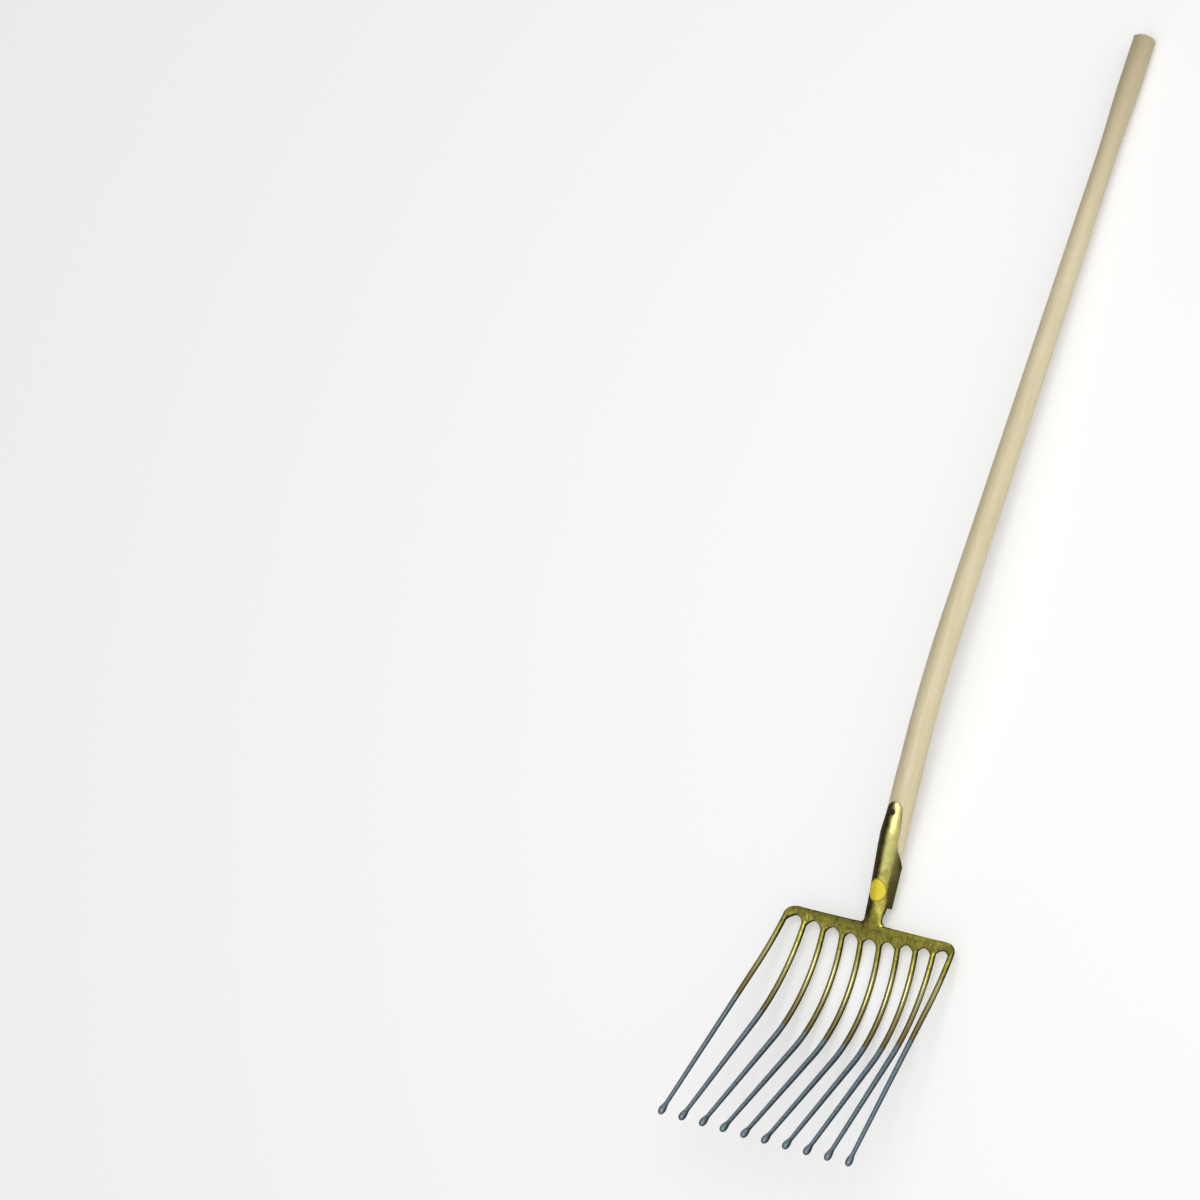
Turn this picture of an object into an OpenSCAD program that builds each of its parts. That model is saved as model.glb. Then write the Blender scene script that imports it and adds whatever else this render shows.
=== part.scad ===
// Gravel fork: ten knobbed tines welded side by side at their feet, a forged socket and a long bent handle.
// Lengths are in millimetres and angles in degrees.
// The fork is drawn with its handle along +Y and its tines towards -Y, then laid on its back on the ground.

/* [Tines] */
// Number of tines
tine_count = 10; // [6:2:10]
// Width between the centre lines of the two outer tines at their feet
root_span = 272; // [250:1:320]
// Width between the points of the two outer tines
tip_span = 306; // [280:1:360]
// How far the points stand in front of the head's reference line, along the handle
head_reach = 324; // [290:1:360]
// How far the points stand above the handle's line
head_rise = 197; // [160:1:220]
// Angle at which the middle tines leave their feet, below the handle's line
mid_drop = 13.5; // [8:0.5:18]
// Angle at which the outer tines leave their feet, above the handle's line
outer_lift = 23; // [15:0.5:26]
// How much steeper the middle tines end than the straight line to their points
mid_hook = 14.9; // [8:0.1:20]
// How much steeper the outer tines end than the straight line to their points
outer_hook = 1; // [0.5:0.1:3]
// How strongly the raised sides of the dish are kept to the outer tines
dish_power = 2.5; // [2:0.1:3]
// Thickness of a tine from its foot to the end of its curve
tine_d = 8.4; // [7:0.1:9]
// Thickness of a tine just before its knob
tip_d = 6.3; // [5:0.1:7]
// Thickness of the knob at the end of a tine
knob_d = 10.6; // [9:0.1:13]
// Length of the knob from the middle of its ball to the middle of its point
knob_l = 8; // [6:0.5:12]
// Length over which a tine swells into its knob
knob_neck_l = 10; // [6:0.5:14]
// Radius of the knob's blunt point
point_r = 2.6; // [1:0.1:3.5]

/* [Crossbar] */
// Thickness of the flattened feet that make up the crossbar
bar_t = 7.6; // [7:0.1:10]
// Depth of the crossbar at its middle, from the back edge to the bottom of a gap
bar_mid = 22; // [18:0.5:28]
// Depth of the crossbar at its ends
bar_end = 12; // [10:0.5:18]
// Distance of the back edge behind the head's reference line
back_y = 7; // [5:0.5:12]
// Distance in front of the reference line where the tines begin to curve
curve_y = 20; // [16:0.5:28]
// Width of a foot where it runs out into its round tine
cusp_w = 9.4; // [9:0.1:11]
// Rounding of the forged edges
edge_r = 2.4; // [1:0.1:3]
// Radius of the crossbar's outer corners
corner_r = 17; // [12:0.5:18]
// Weld seam left between neighbouring pieces of the head
seam = 0.1; // [0.05:0.05:0.3]

/* [Socket] */
// Wall of the socket
socket_wall = 2.8; // [2:0.1:4]
// Clearance between the socket and the handle
socket_gap = 0.15; // [0.05:0.05:0.4]
// Half the angle that the soft ridge along the socket's crest spans
ridge_half = 24; // [15:1:30]
// Angle from the top at which the crest turns into its flat flanks
crease_half = 50; // [45:1:55]
// How far the flanks lean outwards from upright
flank_lean = 24; // [20:1:28]
// Half the width of the crest at the front of the wings
front_half = 15.9; // [14:0.1:17]
// Height of the crest's creases there, above the handle's line
front_z = 0.8; // [0:0.1:3]
// Distance behind the reference line of the crest's waist
waist_y = 62; // [55:1:70]
// Half the width of the crest at its waist
waist_half = 13.7; // [12:0.1:15]
// Height of the crest's creases there, above the handle's line
waist_z = 8.8; // [7:0.1:10]
// Distance behind the reference line where the crest has risen to the full round socket
crest_end = 150; // [130:1:160]
// Width of the neck between crossbar and socket
neck_w = 27.5; // [24:0.5:30]
// Radius of the fillets between the crossbar and the neck
neck_fillet = 9; // [6:0.5:12]
// Distance behind the reference line where the wings begin
wing_start = 34; // [30:1:35]
// Distance behind the reference line where the neck has become the crest of the socket
neck_end = 38; // [36:1:38]
// Distance behind the reference line where the wings end at the open back
wing_end = 83; // [80:1:100]
// Slope of the cut from the wings up to the tongue
wing_cut = 44; // [38:1:52]
// Radius of the curve between the wing's cut and the tongue's edge
tongue_curve = 30; // [20:1:40]
// Height of the tongue's long edges above the handle's line
tongue_z = 14.3; // [14:0.1:17]
// Distance behind the reference line where the tongue ends
tongue_end = 184; // [180:1:210]
// Half the width of the tongue near its tip
tongue_half = 12; // [10:0.5:14]
// Width of the slit along the open back
slit_w = 9; // [5:0.5:16]

/* [Fixings] */
// Distance of the nail in front of the tongue's end
nail_inset = 15; // [10:1:20]
// Thickness of the nail
nail_d = 4; // [3:0.1:5]
// Length of the nail's shank
nail_l = 30; // [20:1:34]
// Clearance round the nail's shank
nail_gap = 0.1; // [0.05:0.05:0.3]
// Width of the nail's domed head
nail_head_d = 9; // [7:0.5:10]
// Height of the nail's domed head
nail_head_h = 2; // [1.5:0.1:3]
// Radius of the plain round label before it is bent over the crest
label_r = 16.5; // [12:0.5:17]
// Distance of the label's centre behind the reference line
label_y = 56; // [55:1:70]
// Thickness of the label
label_t = 0.4; // [0.3:0.1:0.8]

/* [Handle] */
// Thickness of the handle in the socket
handle_d = 38; // [35:0.5:41]
// Thickness of the handle at its bend
bend_d = 36.4; // [32:0.1:40]
// Thickness of the handle at its thinnest place
grip_d = 28.5; // [26:0.5:32]
// Thickness of the handle's swollen end
end_d = 33.5; // [30:0.5:38]
// Distance from the reference line to the end of the handle, along the handle
handle_reach = 1390; // [1200:5:1500]
// Distance behind the reference line where the handle's nose begins
nose_y = 39; // [39:1:42]
// Length of the handle's tapered nose
nose_l = 12; // [8:1:20]
// Thickness of the handle's nose at its front
nose_d = 24; // [16:1:30]
// Distance behind the reference line where the handle begins to bend
bend_y = 250; // [230:5:300]
// Length of the bent stretch
bend_l = 200; // [100:5:300]
// Angle of the bend, towards the back of the fork
bend_angle = 9.5; // [4:0.1:14]
// Length of the straight round end
end_l = 70; // [50:1:100]
// Length over which the handle swells to its end
swell_l = 130; // [80:5:200]
// Height of the handle's domed end
dome_h = 6; // [4:0.5:12]

/* [Hidden] */
ROUND_FN = 64;
FORGED_FN = 32;
BEND_FN = 360;
LONG = 1000;
DOME_STEPS = 6;
SWELL_STEPS = 8;
CURVE_STEPS = 8;
KNOB_STEPS = 8;
EDGE_STEPS = 4;
CORNER_STEPS = 10;
FOOT_STEPS = 4;
POINT_STEPS = 3;
// A straight length is this much larger in radius than the bent length it joins, and slims down inside it.
STEP = 0.05;
OVERLAP = 2;
// The block that shapes the crest starts this far in front of the wings and outgrows the socket by the flare.
CREST_MARGIN = 6;
CREST_FLARE = 0.9;
CREST_STEPS = 3;
// The neck stands this far proud of the crest where they meet.
NECK_PROUD = 0.2;
ROOT_BEVEL = 2;
RUN_OUT = 20;
SLICE = 1;
$fn = ROUND_FN;

function arc_points(from, to, steps) = [for (step = [0:steps]) from + (to - from) * step / steps];

// Places across the head: u runs from -1 at one outer tine to 1 at the other.
function tine_u(i) = 2 * i / (tine_count - 1) - 1;
function gap_u(k) = tine_u(k + 0.5);
function across(u) = u * root_span / 2;
pitch = root_span / (tine_count - 1);
scallop_r = (pitch - cusp_w) / 2;

// The dish: how much of the way a place has turned from the middle tines' form to the outer tines' form.
function dish(middle, outer, u) = middle + (outer - middle) * pow(abs(u), dish_power);
function foot_tilt(u) = dish(-mid_drop, outer_lift, u);
function gap_depth(u) = bar_mid + (bar_end - bar_mid) * abs(u);

// A tine in its own plane, as distance in front of the reference line and height above the handle's line.
// It leaves its foot straight, turns along one arc, and runs straight to its point.
function fan(u) = atan(u * (tip_span - root_span) / 2 / head_reach);
function start_z(u) = (curve_y + back_y) * tan(foot_tilt(u));
function run(u) = head_reach / cos(fan(u)) - curve_y;
function climb(u) = head_rise - start_z(u);
function end_tilt(u) = atan2(climb(u), run(u)) + dish(mid_hook, outer_hook, u);
// The arc's radius and the straight end's length follow from the two angles and the place of the point.
function turn_y(u) = sin(end_tilt(u)) - sin(foot_tilt(u));
function turn_z(u) = cos(foot_tilt(u)) - cos(end_tilt(u));
function share(u) = turn_y(u) * sin(end_tilt(u)) - turn_z(u) * cos(end_tilt(u));
function curve_r(u) = (run(u) * sin(end_tilt(u)) - climb(u) * cos(end_tilt(u))) / share(u);
function straight_l(u) = (turn_y(u) * climb(u) - turn_z(u) * run(u)) / share(u);
function curve_centre(u) = [
    curve_y - curve_r(u) * sin(foot_tilt(u)),
    start_z(u) + curve_r(u) * cos(foot_tilt(u))
];

// The socket's outer radius, and the height of the ridge along its front.
socket_r = handle_d / 2 + socket_gap + socket_wall;
function ridge_z(r) = r / cos(ridge_half);

// The handle, as distance behind the reference line and height above the handle's line.
bend_r = bend_l / (bend_angle * PI / 180);
tail_l = handle_reach - bend_y - bend_l;
tail_start = [bend_y + bend_r * sin(bend_angle), -bend_r * (1 - cos(bend_angle))];
function along_tail(q) = tail_start + q * [cos(bend_angle), -sin(bend_angle)];
dome_r = (pow(end_d / 2, 2) + pow(dome_h, 2)) / (2 * dome_h);
rim = along_tail(tail_l - dome_h) - end_d / 2 * [sin(bend_angle), cos(bend_angle)];

// The fork rests on the bellies of its middle tines and on the rim of the handle's end.
middle_u = 1 / (tine_count - 1);
belly = curve_centre(middle_u);
belly_r = curve_r(middle_u) + tine_d / 2;
rest_z = belly[1] - rim[1];
rest_y = belly[0] + rim[0];
lay_angle = acos(belly_r / norm([rest_y, rest_z])) - atan2(rest_y, rest_z);
function laid_y(y, z) = y * cos(lay_angle) - z * sin(lay_angle);
function laid_z(y, z) = y * sin(lay_angle) + z * cos(lay_angle);
ground_z = laid_z(-belly[0], belly[1]) - belly_r;
front_y = laid_y(-head_reach, head_rise) - point_r;
dome_centre = along_tail(tail_l - dome_r);
rear_y = laid_y(dome_centre[0], dome_centre[1]) + dome_r;

// Lays the fork on the ground, with the middle of its outline over the origin.
module lay()
    translate([0, -(front_y + rear_y) / 2, -ground_z])
        rotate([lay_angle, 0, 0])
            children();

// Puts a drawing of distance in front against height into a tine's upright plane.
module tine_plane() rotate([90, 0, -90]) children();

// Turns something built along Z so that it points along +Y.
module along_y() rotate([-90, 0, 0]) children();

// Keeps what is drawn for the right side, or mirrors it to the left.
module on_side(side) mirror([side < 0 ? 1 : 0, 0, 0]) children();

// The frame of the crossbar at a place across it: y runs back from its rear edge, z is square to its flat.
module bar_frame(u) translate([across(u), back_y, 0]) rotate([-foot_tilt(u), 0, 0]) children();

// Outline of a cutter of radius r that leaves the edges of a plate rounded, as radius against height.
// The rounding runs out into the plate's flat at a slight angle.
module cutter_outline(r) {
    side_z = bar_t / 2 - edge_r * cos(RUN_OUT);
    difference() {
        translate([0, -bar_t]) square([r + edge_r, 2 * bar_t]);
        for (side = [-1, 1]) translate([r + edge_r, side * side_z]) circle(r = edge_r);
        translate([r, -side_z]) square([2 * edge_r, 2 * side_z]);
    }
}

// Cuts the round bottom of a gap out of the feet.
module gap_cutter(u)
    bar_frame(u) translate([0, -gap_depth(u) - scallop_r, 0]) rotate([0, 0, -90])
        rotate_extrude() cutter_outline(scallop_r);

// A point of the crossbar at x across the head, from its distance behind the rear edge and its height.
function bar_point(x, y, z) = let (tilt = foot_tilt(x / across(1)))
    [x, back_y + y * cos(tilt) + z * sin(tilt), z * cos(tilt) - y * sin(tilt)];

// Outline of the crossbar at x: its back edge lies at y and is rounded by r, its front end at the gaps' ends.
function bar_section(x, y, half_t, r) = let (front = -gap_depth(x / across(1)) - scallop_r) concat(
    [bar_point(x, front, half_t), bar_point(x, front, -half_t)],
    r == 0 ? [bar_point(x, y, -half_t), bar_point(x, y, half_t)]
        : [for (side = [-1, 1], a = arc_points(side < 0 ? -90 : 0, side < 0 ? 0 : 90, EDGE_STEPS))
            bar_point(x, y - r + r * cos(a), side * (half_t - r) + r * sin(a))]
);

// A solid through a row of outlines that all have the same number of points.
module loft(sections) {
    n = len(sections[0]);
    last = (len(sections) - 1) * n;
    polyhedron(
        points = [for (section = sections, point = section) point],
        faces = concat(
            [[for (j = [0:n - 1]) j], [for (j = [n - 1:-1:0]) last + j]],
            [for (row = [0:n:last - n], j = [0:n - 1]) [row + j, row + n + j, row + (j + 1) % n]],
            [for (row = [0:n:last - n], j = [0:n - 1])
                [row + (j + 1) % n, row + n + j, row + n + (j + 1) % n]]
        )
    );
}

// The outer end of the crossbar at d from its side: how far its corner is drawn in and its edges thinned.
function corner_in(d) = corner_r - sqrt(pow(corner_r, 2) - pow(max(corner_r - d, 0), 2));
function edge_in(d) = edge_r - sqrt(pow(edge_r, 2) - pow(max(edge_r - d, 0), 2));
outer_x = across(1) + tine_d / 2;
corner_places = [for (a = arc_points(90, 0, CORNER_STEPS)) corner_r * (1 - cos(a))];
edge_places = [for (a = arc_points(60, 0, EDGE_STEPS)) edge_r * (1 - cos(a))];
outer_sections = concat(
    [bar_section(across(gap_u(tine_count - 2)) + seam / 2, 0, bar_t / 2, edge_r)],
    [for (d = concat([for (d = corner_places) if (d > edge_r) d], edge_places))
        bar_section(outer_x - d, -corner_in(d), bar_t / 2 - edge_in(d), edge_r - edge_in(d) / 2)]
);

// The flattened foot of a tine: a slice of the crossbar that narrows to the tine between two gaps.
module foot(i) {
    u = tine_u(i);
    outer = i == 0 || i == tine_count - 1;
    meets_neck = abs(across(u)) - pitch / 2 < neck_w / 2 + neck_fillet;
    difference() {
        on_side(sign(u))
            loft(outer ? outer_sections : [for (x = arc_points(seam - pitch, pitch - seam, FOOT_STEPS) / 2)
                bar_section(across(abs(u)) + x, 0, bar_t / 2, meets_neck ? 0 : edge_r)]);
        for (k = [i - 1, i]) if (k >= 0 && k < tine_count - 1) gap_cutter(gap_u(k));
    }
}

// The straight end of a tine and its knob, as radius against distance from the curve: a ball, and a cone
// that touches both the ball and the blunt point.
function touch_angle(r, l) = asin((knob_d / 2 - r) / l);
function tine_end(l) = concat(
    [[0, -OVERLAP], [tine_d / 2 - 2 * STEP, -OVERLAP], [tine_d / 2 + STEP, 0]],
    [[tip_d / 2, l - knob_l - knob_neck_l]],
    [for (a = arc_points(-touch_angle(tip_d / 2, knob_neck_l), touch_angle(point_r, knob_l), KNOB_STEPS))
        [knob_d / 2 * cos(a), l - knob_l + knob_d / 2 * sin(a)]],
    [for (a = arc_points(touch_angle(point_r, knob_l), 90, POINT_STEPS))
        [point_r * cos(a), l + point_r * sin(a)]]
);

// The root of a tine in its foot: a bevelled start and a round rod.
function root_outline(l) = [
    [0, 0], [tine_d / 2 - ROOT_BEVEL, 0], [tine_d / 2 + STEP, 2 * ROOT_BEVEL],
    [tine_d / 2 + STEP, l], [tine_d / 2 - 2 * STEP, l + OVERLAP], [0, l + OVERLAP]
];

// The round part of a tine, from its root in the flat foot to its knob.
module rod(i) {
    u = tine_u(i);
    outer = i == 0 || i == tine_count - 1;
    root = outer ? corner_r : back_y;
    translate([across(u), 0, 0]) rotate([0, 0, fan(u)]) tine_plane() {
        translate([-back_y, 0, 0]) rotate([0, 0, foot_tilt(u)]) translate([root, 0, 0]) rotate([0, 90, 0])
            rotate_extrude() polygon(root_outline((curve_y + back_y) / cos(foot_tilt(u)) - root));
        translate(curve_centre(u)) {
            rotate([0, 0, foot_tilt(u) - 90])
                rotate_extrude(angle = end_tilt(u) - foot_tilt(u), $fn = BEND_FN)
                    translate([curve_r(u), 0]) circle(d = tine_d, $fn = ROUND_FN);
            rotate([0, 0, end_tilt(u)]) translate([0, -curve_r(u), 0]) rotate([0, 90, 0])
                rotate_extrude() polygon(tine_end(straight_l(u)));
        }
    }
}

module tine(i)
    color(i % 2 == 0 ? "darkkhaki" : "khaki") lay() {
        foot(i);
        rod(i);
    }

// Cross-section of the socket's outside with the ridge along its front, at radius r.
module socket_outline(r) {
    circle(r = r);
    polygon([
        [0, 0], [r * sin(ridge_half), r * cos(ridge_half)],
        [0, ridge_z(r)], [-r * sin(ridge_half), r * cos(ridge_half)]
    ]);
}

// The crest at a distance behind the reference line, as half its width and the height of its creases.
crest_full = (socket_r + CREST_FLARE) * [sin(crease_half), cos(crease_half)];
function between(from, to, part) = from + (to - from) * part;
function crest_at(y) = y < waist_y
    ? between([front_half, front_z], [waist_half, waist_z], (y - wing_start) / (waist_y - wing_start))
    : between([waist_half, waist_z], crest_full, (y - waist_y) / (crest_end - waist_y));

// Outline of the crest at y, drawn in by d, as points across and up: half a ridge, an arc and a flat flank.
function crest_half(y, d) =
    let (c = crest_at(y), r = c[0] / sin(crease_half), z = c[1] - r * cos(crease_half)) concat(
        [[0, z + (r - d) / cos(ridge_half)]],
        [for (a = arc_points(ridge_half, crease_half, CREST_STEPS)) [(r - d) * sin(a), z + (r - d) * cos(a)]]
    );
function crest_foot(y, d) = let (c = crest_half(y, d)[CREST_STEPS + 1])
    c + 2 * socket_r * [tan(flank_lean), -1];
function crest_section(y, d) = let (half = concat(crest_half(y, d), [crest_foot(y, d)]), last = len(half) - 1)
    concat(
        [for (p = half) [p[0], y, p[1]]],
        [for (j = [last:-1:1]) [-half[j][0], y, half[j][1]]]
    );

// The block that the socket's crest and flanks are cut to, drawn in by d.
module crest_block(d)
    loft([for (y = [wing_start - CREST_MARGIN, waist_y, bend_y + 2 * OVERLAP]) crest_section(y, d)]);

// Stretches a cross-section along the handle between two distances behind the reference line.
module along_handle(from, to)
    translate([0, to, 0]) rotate([90, 0, 0]) linear_extrude(to - from) children();

// The handle's straight front, grown by a clearance: a tapered nose, a cylinder and a slight taper.
module handle_front(grow)
    translate([0, nose_y, 0]) along_y() rotate_extrude() polygon([
        [0, 0], [nose_d / 2 + grow, 0], [handle_d / 2 + grow, nose_l],
        [handle_d / 2 + grow, (tongue_end + bend_y) / 2 - nose_y],
        [bend_d / 2 + STEP + grow, bend_y - nose_y],
        [bend_d / 2 - 2 * STEP + grow, bend_y + OVERLAP - nose_y], [0, bend_y + OVERLAP - nose_y]
    ]);

// Cross-section of the neck's rear end: the crest, closed below at the thickness of the crossbar.
function neck_outline() =
    let (half = crest_half(neck_end, -NECK_PROUD), low = [half[len(half) - 1][0], -bar_t / 2]) concat(
        half, [low, [-low[0], low[1]]], [for (j = [len(half) - 1:-1:1]) [-half[j][0], half[j][1]]]);

// The neck: a plate welded to the crossbar that widens and climbs to the crest of the socket.
module neck() {
    plate_l = neck_fillet + seam;
    difference() {
        union() {
            bar_frame(0) translate([-neck_w / 2 - neck_fillet, seam, -bar_t / 2])
                cube([neck_w + 2 * neck_fillet, neck_fillet, bar_t]);
            hull() {
                bar_frame(0) for (x = [-1, 1], z = [-1, 1])
                    translate([x * (neck_w / 2 - edge_r), plate_l - SLICE, z * (bar_t / 2 - edge_r)])
                        along_y() cylinder(r = edge_r, h = SLICE, $fn = FORGED_FN);
                along_handle(neck_end - SLICE, neck_end) polygon(neck_outline());
            }
        }
        for (side = [-1, 1]) bar_frame(0)
            translate([side * (neck_w / 2 + neck_fillet), plate_l, 0]) rotate([0, 0, 90])
                rotate_extrude() cutter_outline(neck_fillet);
    }
}

// Side view of what is cut away below the wings' ends and the tongue: distance behind against height.
tongue_start = wing_end + (tongue_z + socket_r - tongue_curve * (1 - cos(wing_cut))) / tan(wing_cut)
    + tongue_curve * sin(wing_cut);
function tongue_edge(a) = [
    tongue_start - tongue_curve * sin(a),
    tongue_z - tongue_curve * (1 - cos(a))
];
module wing_cutter()
    rotate([90, 0, 90]) translate([0, 0, -LONG / 2]) linear_extrude(LONG)
        polygon(concat(
            [[wing_end, -socket_r], [wing_end, -LONG]],
            [[tongue_end + LONG, -LONG], [tongue_end + LONG, tongue_z]],
            [for (step = [0:CURVE_STEPS]) tongue_edge(wing_cut * step / CURVE_STEPS)]
        ));

// Top view of the tongue: straight sides that draw together to a round tip.
module tongue_outline()
    hull() {
        translate([0, tongue_end - tongue_half]) circle(r = tongue_half);
        translate([-socket_r, 0]) square([2 * socket_r, wing_end]);
        translate([0, tongue_start])
            square([2 * sqrt(pow(socket_r, 2) - pow(tongue_z, 2)), SLICE], center = true);
    }

nail_y = tongue_end - nail_inset;
nail_seat_z = ridge_z(socket_r) - nail_head_d / 2 * tan(ridge_half) / 2;

module socket()
    color("olive") lay() {
        neck();
        difference() {
            intersection() {
                along_handle(wing_start, tongue_end) difference() {
                    socket_outline(socket_r);
                    translate([-slit_w / 2, -LONG]) square([slit_w, LONG]);
                }
                crest_block(0);
            }
            intersection() {
                along_handle(wing_start - SLICE, tongue_end + SLICE) circle(r = handle_d / 2 + socket_gap);
                crest_block(socket_wall);
            }
            wing_cutter();
            translate([0, 0, -LONG / 2]) linear_extrude(LONG) difference() {
                translate([-LONG / 2, wing_end]) square([LONG, LONG]);
                tongue_outline();
            }
            translate([0, nail_y, nail_seat_z]) cylinder(d = nail_head_d + 2 * nail_gap, h = LONG);
            translate([0, nail_y, 0]) cylinder(r = nail_d / 2 + nail_gap, h = LONG);
        }
    }

// Outline of the handle behind its bend, as radius against distance: a long taper, a swell and a domed end.
function swell_r(part) = (grip_d + (end_d - grip_d) * (1 - cos(180 * part)) / 2) / 2;
function tail_outline() = concat(
    [[0, -OVERLAP], [bend_d / 2 - 2 * STEP, -OVERLAP], [bend_d / 2 + STEP, 0]],
    [for (step = [0:SWELL_STEPS])
        [swell_r(step / SWELL_STEPS), tail_l - end_l - swell_l * (1 - step / SWELL_STEPS)]],
    [for (step = [0:DOME_STEPS]) let (a = asin(end_d / 2 / dome_r) * (1 - step / DOME_STEPS))
        [dome_r * sin(a), tail_l - dome_r + dome_r * cos(a)]]
);

module handle()
    color("burlywood") lay() difference() {
        union() {
            intersection() {
                handle_front(0);
                crest_block(socket_wall + socket_gap);
            }
            translate([0, bend_y, -bend_r]) rotate([0, -90, 0])
                rotate_extrude(angle = bend_angle, $fn = 4 * BEND_FN)
                    translate([bend_r, 0]) circle(d = bend_d, $fn = ROUND_FN);
            translate([0, tail_start[0], tail_start[1]]) rotate([-90 - bend_angle, 0, 0])
                rotate_extrude() polygon(tail_outline());
        }
        translate([0, nail_y, nail_seat_z - nail_l - nail_gap])
            cylinder(r = nail_d / 2 + nail_gap, h = LONG);
    }

module tongue_nail()
    color("dimgray") lay() translate([0, nail_y, nail_seat_z]) {
        head_r = (pow(nail_head_d / 2, 2) + pow(nail_head_h, 2)) / (2 * nail_head_h);
        translate([0, 0, -nail_l]) cylinder(d = nail_d, h = nail_l);
        intersection() {
            translate([0, 0, nail_head_h - head_r]) sphere(r = head_r);
            cylinder(d = nail_head_d, h = nail_head_h);
        }
    }

module round_label()
    color("gold") lay() intersection() {
        difference() {
            crest_block(-label_t);
            crest_block(0);
        }
        translate([0, label_y, 0]) linear_extrude(LONG)
            polygon([for (a = [0:360 / ROUND_FN:359]) [waist_half * cos(a), label_r * sin(a)]]);
    }

for (i = [0:tine_count - 1]) tine(i);
socket();
handle();
tongue_nail();
round_label();
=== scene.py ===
"""A gravel fork lying on its back in a plain studio: forged, lacquered head and pale ash handle."""

import logging
import math
from collections.abc import Iterable, Mapping
from dataclasses import dataclass, field, replace
from enum import Enum
from typing import Any, ClassVar

import bmesh
import bpy
import numpy as np
from mathutils import Matrix, Vector
from mathutils.bvhtree import BVHTree


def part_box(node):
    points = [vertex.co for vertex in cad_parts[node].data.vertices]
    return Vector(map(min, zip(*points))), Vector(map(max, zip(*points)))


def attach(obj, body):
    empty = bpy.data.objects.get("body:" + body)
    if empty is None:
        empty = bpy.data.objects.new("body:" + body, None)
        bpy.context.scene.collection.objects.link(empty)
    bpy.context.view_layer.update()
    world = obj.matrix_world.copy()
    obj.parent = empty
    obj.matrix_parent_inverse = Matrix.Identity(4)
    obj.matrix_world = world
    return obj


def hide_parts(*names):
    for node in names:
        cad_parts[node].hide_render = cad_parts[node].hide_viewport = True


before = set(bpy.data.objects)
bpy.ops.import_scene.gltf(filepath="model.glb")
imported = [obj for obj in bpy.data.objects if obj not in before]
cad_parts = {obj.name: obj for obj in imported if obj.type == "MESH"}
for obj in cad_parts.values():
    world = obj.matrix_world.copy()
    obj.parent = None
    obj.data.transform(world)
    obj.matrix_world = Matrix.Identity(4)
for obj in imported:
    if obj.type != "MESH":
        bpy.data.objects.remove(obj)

LOG = logging.getLogger("gravel_fork")
BODY = "root"
MM = 0.001
HAIR = MM / 100
Colour = tuple[float, float, float]

# Places along the laid fork, in metres: smooth rods in front of the first, hammer work behind the second.
DRAWN_Y, WORKED_Y = -0.590, -0.552


class Slot(Enum):
    """Names of the material slots."""

    TINES = "tines"
    SOCKET = "socket"
    HANDLE = "handle"
    NAIL = "nail"
    LABEL = "label"


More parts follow.
